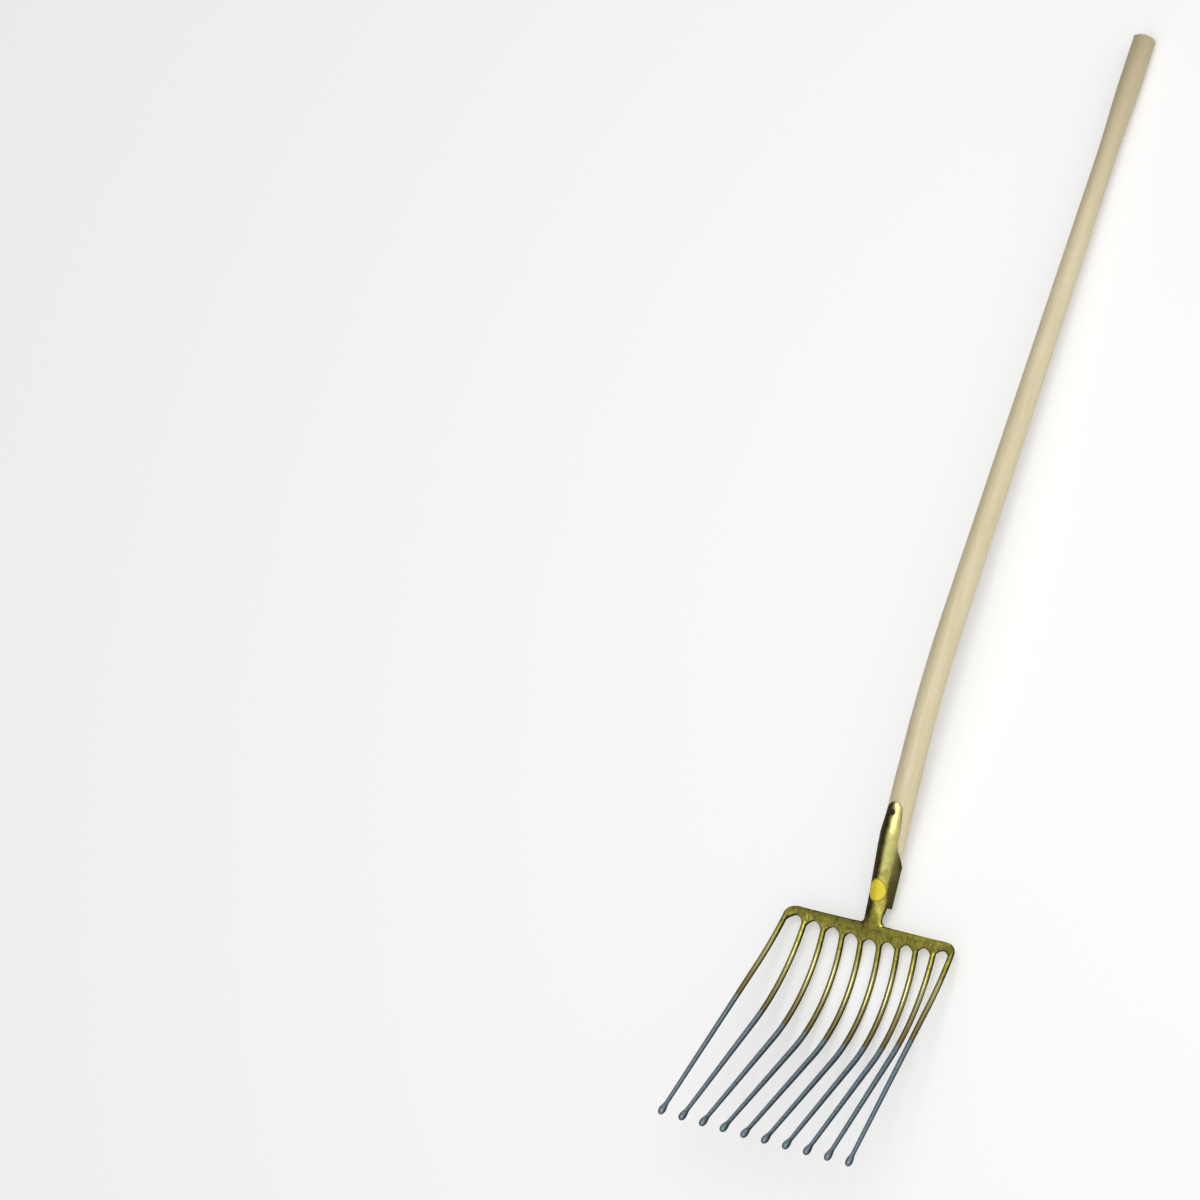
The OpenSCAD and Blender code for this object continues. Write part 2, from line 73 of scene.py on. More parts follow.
@dataclass(frozen=True)
class ForkPlan:
    """The fork's driving sizes, in metres and degrees, and the rule that its tines follow.

    The drawing frame has the handle along +Y from the head's reference line and the tines towards -Y.
    """

    tine_count: int = 10
    root_span: float = 0.272
    tip_span: float = 0.306
    head_reach: float = 0.324
    head_rise: float = 0.197
    mid_drop: float = 13.5
    outer_lift: float = 23.0
    mid_hook: float = 14.9
    outer_hook: float = 1.0
    dish_power: float = 2.5
    tine_d: float = 0.0084
    tip_d: float = 0.0063
    knob_d: float = 0.0106
    knob_l: float = 0.008
    knob_neck_l: float = 0.014
    point_r: float = 0.0026
    bar_t: float = 0.0076
    bar_mid: float = 0.022
    bar_end: float = 0.012
    back_y: float = 0.007
    curve_y: float = 0.020
    cusp_w: float = 0.0094
    corner_r: float = 0.017
    handle_d: float = 0.038
    bend_d: float = 0.0364
    grip_d: float = 0.0285
    end_d: float = 0.0335
    handle_reach: float = 1.390
    nose_y: float = 0.039
    nose_l: float = 0.012
    nose_d: float = 0.024
    taper_y: float = 0.217
    bend_y: float = 0.250
    bend_l: float = 0.200
    bend_angle: float = 9.5
    end_l: float = 0.070
    swell_l: float = 0.130
    dome_h: float = 0.006

    def place(self, index: int) -> float:
        """Place of a tine across the head, from -1 at one side to 1 at the other."""
        return 2 * index / (self.tine_count - 1) - 1

    def across(self, u: float) -> float:
        """Distance of a place from the middle of the head."""
        return u * self.root_span / 2

    def dish(self, middle: float, outer: float, u: float) -> float:
        """Value at a place, between that of the middle tines and that of the outer tines."""
        return middle + (outer - middle) * abs(u) ** self.dish_power

    def foot_tilt(self, u: float) -> float:
        """Angle at which a tine leaves its foot, above the handle's line."""
        return math.radians(self.dish(-self.mid_drop, self.outer_lift, u))

    def pitch(self) -> float:
        """Distance between two neighbouring tines at their feet."""
        return self.root_span / (self.tine_count - 1)

    def gap_depth(self, u: float) -> float:
        """Depth of the crossbar from its rear edge to the bottom of a gap."""
        return self.bar_mid + (self.bar_end - self.bar_mid) * abs(u)

    def gap_r(self) -> float:
        """Radius of a gap's round bottom."""
        return (self.pitch() - self.cusp_w) / 2

    def fan(self, u: float) -> float:
        """Angle by which a tine leans outwards."""
        return math.atan(u * (self.tip_span - self.root_span) / 2 / self.head_reach)

    def foot_length(self, u: float) -> float:
        """Length of a foot from the crossbar's back edge to the start of the tine's curve."""
        return (self.curve_y + self.back_y) / math.cos(self.foot_tilt(u))

    def end_tilt(self, u: float) -> float:
        """Angle of a tine's straight end above the handle's line."""
        run, climb = self.span(u)
        return math.atan2(climb, run) + math.radians(self.dish(self.mid_hook, self.outer_hook, u))

    def span(self, u: float) -> tuple[float, float]:
        """Distance in front and height from the start of a tine's curve to its point."""
        climb = self.head_rise - (self.curve_y + self.back_y) * math.tan(self.foot_tilt(u))
        return self.head_reach / math.cos(self.fan(u)) - self.curve_y, climb

    def curve(self, u: float) -> tuple[float, float]:
        """Radius of a tine's curve and length of its straight end.

        Args:
            u: The tine's place.

        Returns:
            The radius and the length.
        """
        run, climb = self.span(u)
        start, end = self.foot_tilt(u), self.end_tilt(u)
        turn_y = math.sin(end) - math.sin(start)
        turn_z = math.cos(start) - math.cos(end)
        share = turn_y * math.sin(end) - turn_z * math.cos(end)
        radius = (run * math.sin(end) - climb * math.cos(end)) / share
        return radius, (turn_y * climb - turn_z * run) / share

    def tail(self) -> tuple[float, float]:
        """Radius of the handle's bend and length of the handle behind it."""
        return self.bend_l / math.radians(self.bend_angle), self.handle_reach - self.bend_y - self.bend_l

    def dome_r(self) -> float:
        """Radius of the sphere that rounds off the handle's end."""
        return ((self.end_d / 2) ** 2 + self.dome_h**2) / (2 * self.dome_h)

    def tail_point(self, q: float) -> tuple[float, float]:
        """Distance and height of the handle's middle at a length behind its bend.

        Args:
            q: The length behind the bend.

        Returns:
            The distance behind the reference line and the height.
        """
        bend_r = self.tail()[0]
        angle = math.radians(self.bend_angle)
        y = self.bend_y + bend_r * math.sin(angle) + q * math.cos(angle)
        return y, -bend_r * (1 - math.cos(angle)) - q * math.sin(angle)

    def lay(self) -> tuple[float, Vector]:
        """Turn about X and shift that lay the drawn fork on the ground, its outline over the origin.

        Returns:
            The turn and the shift.
        """
        angle = math.radians(self.bend_angle)
        u = 1 / (self.tine_count - 1)
        radius = self.curve(u)[0]
        start = self.foot_tilt(u)
        belly_y = self.curve_y - radius * math.sin(start)
        belly_z = (self.curve_y + self.back_y) * math.tan(start) + radius * math.cos(start)
        belly_r = radius + self.tine_d / 2
        rim_y, rim_z = self.tail_point(self.tail()[1] - self.dome_h)
        rest_y = belly_y + rim_y - self.end_d / 2 * math.sin(angle)
        rest_z = belly_z - rim_z + self.end_d / 2 * math.cos(angle)
        turn = math.acos(belly_r / math.hypot(rest_y, rest_z)) - math.atan2(rest_y, rest_z)
        laid = Matrix.Rotation(turn, 3, "X")
        ground = (laid @ Vector((0, -belly_y, belly_z))).z - belly_r
        front = (laid @ Vector((0, -self.head_reach, self.head_rise))).y - self.point_r
        dome = laid @ Vector((0, *self.tail_point(self.tail()[1] - self.dome_r())))
        rear = dome.y + self.dome_r()
        return turn, Vector((0, -(front + rear) / 2, -ground))

    def drawn(self, place: Vector) -> Vector:
        """A place on the laid fork, in the drawing frame."""
        turn, shift = self.lay()
        return Matrix.Rotation(-turn, 3, "X") @ (place - shift)

    def laid(self, place: Vector) -> Vector:
        """A place in the drawing frame, on the laid fork."""
        turn, shift = self.lay()
        return Matrix.Rotation(turn, 3, "X") @ place + shift


@dataclass(frozen=True)
class CrestPlan:
    """The socket's crest, in metres and degrees: a soft ridge, an arc on each side and flat flanks."""

    ridge_half: float = 24.0
    crease_half: float = 50.0
    flank_lean: float = 24.0
    wing_start: float = 0.034
    front_half: float = 0.0159
    front_z: float = 0.0008
    waist_y: float = 0.062
    waist_half: float = 0.0137
    waist_z: float = 0.0088
    crest_end: float = 0.150
    full_r: float = 0.02285
    inset: float = 0.00295

    def creases(self, y: float) -> tuple[float, float]:
        """Half the crest's width and the height of its creases at a distance behind the reference line."""
        if y < self.waist_y:
            part = (y - self.wing_start) / (self.waist_y - self.wing_start)
            start, end = (self.front_half, self.front_z), (self.waist_half, self.waist_z)
        else:
            part = (y - self.waist_y) / (self.crest_end - self.waist_y)
            turn = math.radians(self.crease_half)
            start = (self.waist_half, self.waist_z)
            end = (self.full_r * math.sin(turn), self.full_r * math.cos(turn))
        return start[0] + (end[0] - start[0]) * part, start[1] + (end[1] - start[1]) * part

    def draw_in(self, place: Vector) -> Vector:
        """Draws a place on the handle in to the crest's inner faces.

        Args:
            place: The place, in the drawing frame.

        Returns:
            The place, moved where the round handle is shaved.
        """
        half, crease_z = self.creases(place.y)
        turn = math.radians(self.crease_half)
        radius = half / math.sin(turn)
        centre = crease_z - radius * math.cos(turn)
        inner = radius - self.inset
        rise = place.z - centre
        angle = abs(math.atan2(place.x, rise))
        if angle > turn:
            lean = math.tan(math.radians(self.flank_lean))
            limit = inner * math.sin(turn) + (inner * math.cos(turn) - rise) * lean
            return Vector((math.copysign(min(abs(place.x), limit), place.x), place.y, place.z))
        limit = inner / math.cos(max(math.radians(self.ridge_half) - angle, 0.0))
        share = min(1.0, limit / math.hypot(place.x, rise))
        return Vector((place.x * share, place.y, centre + rise * share))


def arc(start: float, end: float, steps: int) -> list[float]:
    """Evenly spaced values from start to end, both included.

    Args:
        start: The first value.
        end: The last value.
        steps: How many steps lie between them.

    Returns:
        The values.
    """
    return [start + (end - start) * step / steps for step in range(steps + 1)]


def ease(share: float) -> float:
    """How much of a soft swell is done at a share of its length."""
    return (1 - math.cos(math.pi * share)) / 2


class Nodes:
    """A node tree that is being built, with short calls for nodes, sums and mixes."""

    def __init__(self, tree: bpy.types.NodeTree) -> None:
        """Starts to build a tree."""
        self.tree = tree

    def add(self, kind: str, inputs: Mapping[str, Any] | None = None, **settings: Any) -> bpy.types.Node:
        """Adds a node.

        Args:
            kind: The node's type.
            inputs: Values or sockets for its inputs, by name.
            settings: Values for its own properties.

        Returns:
            The node.
        """
        node = self.tree.nodes.new(kind)
        for name, value in settings.items():
            setattr(node, name, value)
        for name, value in (inputs or {}).items():
            self.feed(node.inputs[name], value)
        return node

    def feed(self, socket: bpy.types.NodeSocket, value: Any) -> None:
        """Links a socket to an input, or sets the input's value."""
        if isinstance(value, bpy.types.NodeSocket):
            self.tree.links.new(value, socket)
        else:
            socket.default_value = value

    def maths(self, operation: str, *values: Any) -> bpy.types.NodeSocket:
        """Result of a sum on values or sockets.

        Args:
            operation: The sum.
            values: What it works on.

        Returns:
            The result's socket.
        """
        node = self.add("ShaderNodeMath", operation=operation)
        for socket, value in zip(node.inputs, values):
            self.feed(socket, value)
        return node.outputs[0]

    def split(self, vector: Any) -> Any:
        """The three parts of a vector, by name."""
        return self.add("ShaderNodeSeparateXYZ", {"Vector": vector}).outputs

    def blend(self, amount: Any, first: Any, second: Any) -> bpy.types.NodeSocket:
        """Mix of two colours.

        Args:
            amount: Share of the second colour.
            first: The first colour.
            second: The second colour.

        Returns:
            The mix's socket.
        """
        node = self.add("ShaderNodeMix", data_type="RGBA")
        for socket, value in zip((node.inputs[0], node.inputs[6], node.inputs[7]), (amount, first, second)):
            self.feed(socket, value)
        return node.outputs[2]

    def ramp(self, value: Any, low: Any, high: Any, to_low: Any = 0.0, to_high: Any = 1.0) -> Any:
        """A value taken smoothly from one range to another."""
        node = self.add(
            "ShaderNodeMapRange",
            {"Value": value, "From Min": low, "From Max": high, "To Min": to_low, "To Max": to_high},
            interpolation_type="SMOOTHSTEP",
        )
        return node.outputs["Result"]

    def noise(self, vector: Any, scale: Any, detail: float = 3.0, roughness: float = 0.5) -> Any:
        """Height of a noise at a scale in waves per metre."""
        inputs = {"Vector": vector, "Scale": scale, "Detail": detail, "Roughness": roughness}
        return self.add("ShaderNodeTexNoise", inputs).outputs[0]


def group_tree(name: str, kind: str, inputs: Mapping[str, str], outputs: Mapping[str, str]) -> Nodes:
    """Starts a node group with named sockets.

    Args:
        name: The group's name.
        kind: ShaderNodeTree or GeometryNodeTree.
        inputs: Socket types by input name.
        outputs: Socket types by output name.

    Returns:
        The tree, ready for its nodes.
    """
    tree = bpy.data.node_groups.new(name, kind)
    for socket, socket_type in inputs.items():
        tree.interface.new_socket(socket, in_out="INPUT", socket_type=socket_type)
    for socket, socket_type in outputs.items():
        tree.interface.new_socket(socket, in_out="OUTPUT", socket_type=socket_type)
    return Nodes(tree)


FLOAT, VECTOR = "NodeSocketFloat", "NodeSocketVector"


class ShaderGroups:
    """The shader effects that more than one finish uses, each built once."""

    WANDER_SCALE = 55.0
    WANDER = 0.012
    SPECK_EDGE = 0.75
    SPECK_GAIN = 0.12
    SPECK_SOFT = 0.05
    PATCH_EDGE, PATCH_FULL = 0.52, 0.74
    GRIT_SCALE = 9.0

    def __init__(self) -> None:
        """Builds all groups."""
        self.dip = self._dip()
        self.specks = self._specks()
        self.skin = self._skin()

    def _dip(self) -> bpy.types.NodeTree:
        """How far a place lies below the line to which the head was dipped.

        Returns:
            The group, which puts out a mask of what was dipped and a mask of the thin coat next to it.
        """
        inputs = {"Position": VECTOR, "Line": FLOAT, "Slope": FLOAT, "Softness": FLOAT, "Thin Length": FLOAT}
        nodes = group_tree("dip_line", "ShaderNodeTree", inputs, {"Dipped": FLOAT, "Thin": FLOAT})
        given = nodes.add("NodeGroupInput").outputs
        place = nodes.split(given["Position"])
        wander = nodes.noise(given["Position"], self.WANDER_SCALE)
        wander = nodes.maths("MULTIPLY_ADD", wander, self.WANDER, -self.WANDER / 2)
        line = nodes.maths("MULTIPLY_ADD", place["Z"], given["Slope"], given["Line"])
        behind = nodes.maths("ADD", nodes.maths("SUBTRACT", place["Y"], line), wander)
        soft = given["Softness"]
        dipped = nodes.ramp(behind, nodes.maths("MULTIPLY", soft, -1.0), soft, 1.0, 0.0)
        thin = nodes.ramp(behind, 0.0, given["Thin Length"], 1.0, 0.0)
        nodes.add("NodeGroupOutput", {"Dipped": dipped, "Thin": thin})
        return nodes.tree

    def _specks(self) -> bpy.types.NodeTree:
        """Small dark specks and larger sooty patches under a thin lacquer.

        Returns:
            The group, which puts out a mask of each.
        """
        inputs = {"Position": VECTOR, "Speck Scale": FLOAT, "Patch Scale": FLOAT, "Amount": FLOAT}
        nodes = group_tree("specks", "ShaderNodeTree", inputs, {"Specks": FLOAT, "Patches": FLOAT})
        given = nodes.add("NodeGroupInput").outputs
        fine = nodes.noise(given["Position"], given["Speck Scale"], 2.0)
        broad = nodes.noise(given["Position"], given["Patch Scale"], 4.0)
        gain = nodes.maths("MULTIPLY", given["Amount"], self.SPECK_GAIN)
        edge = nodes.maths("SUBTRACT", self.SPECK_EDGE, gain)
        specks = nodes.ramp(fine, edge, nodes.maths("ADD", edge, self.SPECK_SOFT))
        patches = nodes.ramp(broad, self.PATCH_EDGE, self.PATCH_FULL)
        patches = nodes.maths("MULTIPLY", patches, given["Amount"])
        nodes.add("NodeGroupOutput", {"Specks": specks, "Patches": patches})
        return nodes.tree

    def _skin(self) -> bpy.types.NodeTree:
        """Fine unevenness of a surface.

        Returns:
            The group, which puts out a height between 0 and 1 for a bump.
        """
        inputs = {"Position": VECTOR, "Scale": FLOAT, "Grit": FLOAT}
        nodes = group_tree("surface_skin", "ShaderNodeTree", inputs, {"Height": FLOAT})
        given = nodes.add("NodeGroupInput").outputs
        waves = nodes.noise(given["Position"], given["Scale"], 2.0)
        grit_scale = nodes.maths("MULTIPLY", given["Scale"], self.GRIT_SCALE)
        grit = nodes.noise(given["Position"], grit_scale, 2.0)
        nodes.add("NodeGroupOutput", {"Height": nodes.maths("MULTIPLY_ADD", grit, given["Grit"], waves)})
        return nodes.tree


class Finish:
    """A finish that builds its own material."""

    name: str

    def material(self, groups: ShaderGroups) -> bpy.types.Material:
        """Builds the material of this finish.

        Args:
            groups: The shared shader effects.

        Returns:
            The material.
        """
        material = bpy.data.materials.new(self.name)
        material.use_nodes = True
        nodes = Nodes(material.node_tree)
        shader = material.node_tree.nodes["Principled BSDF"]
        position = nodes.add("ShaderNodeTexCoord").outputs["Object"]
        self.dress(nodes, shader, position, groups)
        return material

    def dress(self, nodes: Nodes, shader: bpy.types.Node, position: Any, groups: ShaderGroups) -> None:
        """Builds the nodes that feed the shader.

        Args:
            nodes: The material's nodes.
            shader: Its shader.
            position: The place on the piece.
            groups: The shared shader effects.
        """
        raise NotImplementedError


def shared(nodes: Nodes, tree: bpy.types.NodeTree, **inputs: Any) -> Any:
    """Places a shared shader group in a material.

    Args:
        nodes: The material's nodes.
        tree: The group.
        inputs: Values by input name, with underscores for spaces.

    Returns:
        The group's outputs.
    """
    node = nodes.add("ShaderNodeGroup", node_tree=tree)
    for name, value in inputs.items():
        nodes.feed(node.inputs[name.replace("_", " ")], value)
    return node.outputs


def rgba(colour: Colour) -> tuple[float, float, float, float]:
    """A colour with full alpha."""
    return (*colour, 1.0)


@dataclass(frozen=True)
class ForgedLacquer(Finish):
    """Thin gold-bronze lacquer over forged steel, dipped in blue-grey at the tines' front halves."""

    name: str
    gold: Colour = (0.56, 0.53, 0.22)
    hammered: Colour = (0.57, 0.52, 0.10)
    olive: Colour = (0.35, 0.315, 0.05)
    brown: Colour = (0.21, 0.15, 0.055)
    soot: Colour = (0.03, 0.024, 0.014)
    blue: Colour = (0.21, 0.28, 0.31)
    blue_dark: Colour = (0.13, 0.185, 0.215)
    # Dark tone for the painted shade on steep walls, also used for the scale flakes.
    shade_and_scale_tone: Colour = (0.042, 0.03, 0.013)
    blue_wall_shade: Colour = (0.014, 0.026, 0.033)
    # Colour of the painted shade on the socket's far (-X) side.
    far_side_shade: Colour = (0.045, 0.03, 0.02)
    edge_tint: Colour = (0.05, 0.05, 0.05)
    dip_line: float = -0.7031
    dip_slope: float = 0.42
    thin_length: float = 0.14
    drawn_y: float = DRAWN_Y
    worked_y: float = WORKED_Y
    neck_y: float = -0.500
    socket_y: float = -0.390
    socket_wear: float = 0.25
    # Where the painted shade on the socket's far side starts and is full, along Y and across X.
    far_shade_start: float = -0.535
    far_shade_full: float = -0.495
    far_shade_side: float = -0.0045
    far_shade_end: float = 0.0005
    dip_softness: float = 0.002
    cloud_scale: float = 110.0
    flake_scale: float = 190.0
    ragged_scale: float = 90.0
    ragged_width: float = 0.014
    speck_scale: float = 300.0
    patch_scale: float = 62.0
    marks: float = 0.75
    thin_share: float = 0.9
    wall_shade_share: float = 0.92
    flake_and_shade_share: float = 0.85
    far_shade_share: float = 0.8
    patch_share: float = 0.9
    cloud_share: float = 0.5
    blue_wall_shade_share: float = 0.9
    metal: float = 0.85
    metal_loss: float = 0.3
    rod_rough: float = 0.2
    worked_rough: float = 0.16
    grain_rough: float = 0.1
    dip_rough: float = 0.03
    specular: float = 0.35

    def dress(self, nodes: Nodes, shader: bpy.types.Node, position: Any, groups: ShaderGroups) -> None:
        """Builds the nodes that feed the shader.

        Args:
            nodes: The material's nodes.
            shader: Its shader.
            position: The place on the piece.
            groups: The shared shader effects.
        """
        dip = shared(
            nodes, groups.dip, Position=position, Line=self.dip_line, Slope=self.dip_slope,
            Softness=self.dip_softness, Thin_Length=self.thin_length,
        )
        place = nodes.split(position)
        along = place["Y"]
        behind = nodes.ramp(along, self.neck_y, self.socket_y, 1.0, self.socket_wear)
        worked = nodes.maths("MULTIPLY", nodes.ramp(along, self.drawn_y, self.worked_y), behind)
        # Painted shade: faces with sideways normals (rod sides, gap walls) are darkened, on the gold and on
        # the blue.
        wall_shade = nodes.add("ShaderNodeAttribute", attribute_name=Trees.WALL).outputs["Fac"]
        rim = nodes.add("ShaderNodeAttribute", attribute_name=Trees.WALL_SHADE_SPREAD).outputs["Fac"]
        marks = shared(
            nodes, groups.specks, Position=position, Speck_Scale=self.speck_scale,
            Patch_Scale=self.patch_scale, Amount=nodes.maths("MULTIPLY", worked, self.marks),
        )
        cloud = nodes.ramp(nodes.noise(position, self.cloud_scale, 4.0, 0.6), 0.3, 0.7)
        gold = nodes.blend(cloud, rgba(self.hammered), rgba(self.olive))
        gold = nodes.blend(worked, rgba(self.gold), gold)
        gold = nodes.blend(nodes.maths("MULTIPLY", dip["Thin"], self.thin_share), gold, rgba(self.brown))
        gold = nodes.blend(nodes.maths("MULTIPLY", wall_shade, self.wall_shade_share), gold, rgba(self.shade_and_scale_tone))
        # Dark flakes: partly real forge scale, partly painted shade gathered next to steep walls and gap
        # bottoms.
        flakes_and_edge_shade = nodes.maths("ADD", rim, nodes.noise(position, self.flake_scale, 3.0, 0.6))
        flakes_and_edge_shade = nodes.maths("MULTIPLY", nodes.ramp(flakes_and_edge_shade, 0.62, 0.92), worked)
        gold = nodes.blend(nodes.maths("MULTIPLY", flakes_and_edge_shade, self.flake_and_shade_share), gold, rgba(self.shade_and_scale_tone))
        # Painted shade: the socket's far (-X) side is darkened towards dark brown.
        painted_far_shade = self.painted_far_shade(nodes, position, place)
        gold = nodes.blend(nodes.maths("MULTIPLY", painted_far_shade, self.far_shade_share), gold, rgba(self.far_side_shade))
        sooty = nodes.maths("MULTIPLY", marks["Patches"], self.patch_share)
        gold = nodes.blend(sooty, gold, rgba(self.soot))
        gold = nodes.blend(marks["Specks"], gold, rgba(self.soot))
        dark = nodes.maths("MULTIPLY", cloud, self.cloud_share)
        blue = nodes.blend(dark, rgba(self.blue), rgba(self.blue_dark))
        # Painted shade on the steep sides of the blue rods.
        blue = nodes.blend(nodes.maths("MULTIPLY", wall_shade, self.blue_wall_shade_share), blue, rgba(self.blue_wall_shade))
        nodes.feed(shader.inputs["Base Color"], nodes.blend(dip["Dipped"], gold, blue))
        metal = nodes.maths("MULTIPLY_ADD", dip["Dipped"], -self.metal_loss, self.metal)
        metal = nodes.maths("MULTIPLY_ADD", marks["Patches"], -self.metal_loss, metal)
        nodes.feed(shader.inputs["Metallic"], metal)
        rough = nodes.maths("MULTIPLY_ADD", worked, self.worked_rough, self.rod_rough)
        grain = nodes.ramp(nodes.noise(position, 260.0), 0.3, 0.7, 0.0, self.grain_rough)
        rough = nodes.maths("ADD", rough, grain)
        rough = nodes.maths("MULTIPLY_ADD", dip["Dipped"], self.dip_rough, rough)
        nodes.feed(shader.inputs["Roughness"], rough)
        shader.inputs["Specular Tint"].default_value = rgba(self.edge_tint)
        shader.inputs["Specular IOR Level"].default_value = self.specular
        skin = shared(nodes, groups.skin, Position=position, Scale=170.0, Grit=0.3)
        height = nodes.maths("MULTIPLY", skin["Height"], nodes.maths("MULTIPLY_ADD", worked, 0.8, 0.1))
        bump = nodes.add("ShaderNodeBump", {"Height": height, "Strength": 0.4, "Distance": 0.0004})
        nodes.feed(shader.inputs["Normal"], bump.outputs["Normal"])

    def painted_far_shade(self, nodes: Nodes, position: Any, place: Any) -> Any:
        """Mask of the painted shade that darkens the socket's far (-X) side, with a ragged edge along the
        crest.

        Args:
            nodes: The material's nodes.
            position: The place on the piece.
            place: The same place, in its three parts.

        Returns:
            The mask's socket.
        """
        ragged = nodes.noise(position, self.ragged_scale, 3.0, 0.6)
        ragged = nodes.maths("MULTIPLY_ADD", ragged, self.ragged_width, -self.ragged_width / 2)
        side = nodes.maths("ADD", place["X"], ragged)
        side = nodes.ramp(side, self.far_shade_side, self.far_shade_end, 1.0, 0.0)
        return nodes.maths("MULTIPLY", side, nodes.ramp(place["Y"], self.far_shade_start, self.far_shade_full))


@dataclass(frozen=True)
class SandedAsh(Finish):
    """Pale ash, sanded smooth, with fine long grain."""

    name: str
    pale: Colour = (0.70, 0.615, 0.405)
    warm: Colour = (0.60, 0.495, 0.295)
    pore: Colour = (0.38, 0.29, 0.17)
    far_end_tone: Colour = (0.43, 0.35, 0.21)
    grip_start: float = 0.50
    grip_end: float = 0.86
    grain_stretch: float = 0.03
    band_scale: float = 190.0
    pore_scale: float = 1500.0
    tone_scale: float = 6.0
    band_share: float = 0.55
    tone_share: float = 0.18
    pore_share: float = 0.4
    grip_share: float = 0.65

    def dress(self, nodes: Nodes, shader: bpy.types.Node, position: Any, groups: ShaderGroups) -> None:
        """Builds the nodes that feed the shader.

        Args:
            nodes: The material's nodes.
            shader: Its shader.
            position: The place on the piece.
            groups: The shared shader effects.
        """
        along = nodes.add(
            "ShaderNodeMapping", {"Vector": position, "Scale": (1.0, self.grain_stretch, 1.0)}
        ).outputs["Vector"]
        bands = nodes.ramp(nodes.noise(along, self.band_scale, 4.0, 0.55), 0.32, 0.72)
        pores = nodes.ramp(nodes.noise(along, self.pore_scale, 2.0, 0.6), 0.58, 0.78)
        tone = nodes.ramp(nodes.noise(position, self.tone_scale, 2.0), 0.3, 0.7)
        banded = nodes.maths("MULTIPLY", bands, self.band_share)
        wood = nodes.blend(banded, rgba(self.pale), rgba(self.warm))
        wood = nodes.blend(nodes.maths("MULTIPLY", tone, self.tone_share), wood, rgba(self.warm))
        wood = nodes.blend(nodes.maths("MULTIPLY", pores, self.pore_share), wood, rgba(self.pore))
        # The wood turns darker and browner towards the handle's far end.
        grip = nodes.ramp(nodes.split(position)["Y"], self.grip_start, self.grip_end)
        grip = nodes.maths("MULTIPLY", grip, self.grip_share)
        wood = nodes.blend(grip, wood, rgba(self.far_end_tone))
        nodes.feed(shader.inputs["Base Color"], wood)
        nodes.feed(shader.inputs["Roughness"], nodes.ramp(bands, 0.0, 1.0, 0.44, 0.56))
        bump = nodes.add(
            "ShaderNodeBump", {"Height": pores, "Strength": 0.25, "Distance": 0.0002}, invert=True
        )
        nodes.feed(shader.inputs["Normal"], bump.outputs["Normal"])


@dataclass(frozen=True)
class PlainLabel(Finish):
    """A plain yellow label with a slightly darker rim."""

    REACH: ClassVar[str] = "reach"

    name: str
    yellow: Colour = (0.82, 0.67, 0.03)
    rim: Colour = (0.40, 0.31, 0.02)
    rim_start: float = 0.86
    rim_full: float = 0.91
    mottle: float = 0.15

    def dress(self, nodes: Nodes, shader: bpy.types.Node, position: Any, groups: ShaderGroups) -> None:
        """Builds the nodes that feed the shader.

        Args:
            nodes: The material's nodes.
            shader: Its shader.
            position: The place on the piece.
            groups: The shared shader effects.
        """
        reach = nodes.add("ShaderNodeAttribute", attribute_name=self.REACH).outputs["Fac"]
        rim = nodes.ramp(reach, self.rim_start, self.rim_full)
        tone = nodes.ramp(nodes.noise(position, 300.0), 0.3, 0.7)
        yellow = nodes.blend(nodes.maths("MULTIPLY", tone, self.mottle), rgba(self.yellow), rgba(self.rim))
        nodes.feed(shader.inputs["Base Color"], nodes.blend(rim, yellow, rgba(self.rim)))
        nodes.feed(shader.inputs["Roughness"], nodes.ramp(tone, 0.0, 1.0, 0.32, 0.42))
        skin = shared(nodes, groups.skin, Position=position, Scale=200.0, Grit=0.1)
        bump = nodes.add("ShaderNodeBump", {"Height": skin["Height"], "Strength": 0.2, "Distance": 0.0002})
        nodes.feed(shader.inputs["Normal"], bump.outputs["Normal"])


@dataclass(frozen=True)
class NailSteel(Finish):
    """A dark nail head with thin lacquer in its hollows."""

    name: str
    steel: Colour = (0.022, 0.018, 0.012)
    lacquer: Colour = (0.05, 0.042, 0.02)
    metal: float = 0.7

    def dress(self, nodes: Nodes, shader: bpy.types.Node, position: Any, groups: ShaderGroups) -> None:
        """Builds the nodes that feed the shader.

        Args:
            nodes: The material's nodes.
            shader: Its shader.
            position: The place on the piece.
            groups: The shared shader effects.
        """
        worn = nodes.ramp(nodes.noise(position, 420.0), 0.42, 0.62)
        nodes.feed(shader.inputs["Base Color"], nodes.blend(worn, rgba(self.steel), rgba(self.lacquer)))
        shader.inputs["Metallic"].default_value = self.metal
        nodes.feed(shader.inputs["Roughness"], nodes.ramp(worn, 0.0, 1.0, 0.38, 0.5))
        skin = shared(nodes, groups.skin, Position=position, Scale=500.0, Grit=0.2)
        bump = nodes.add("ShaderNodeBump", {"Height": skin["Height"], "Strength": 0.4, "Distance": 0.0003})
        nodes.feed(shader.inputs["Normal"], bump.outputs["Normal"])


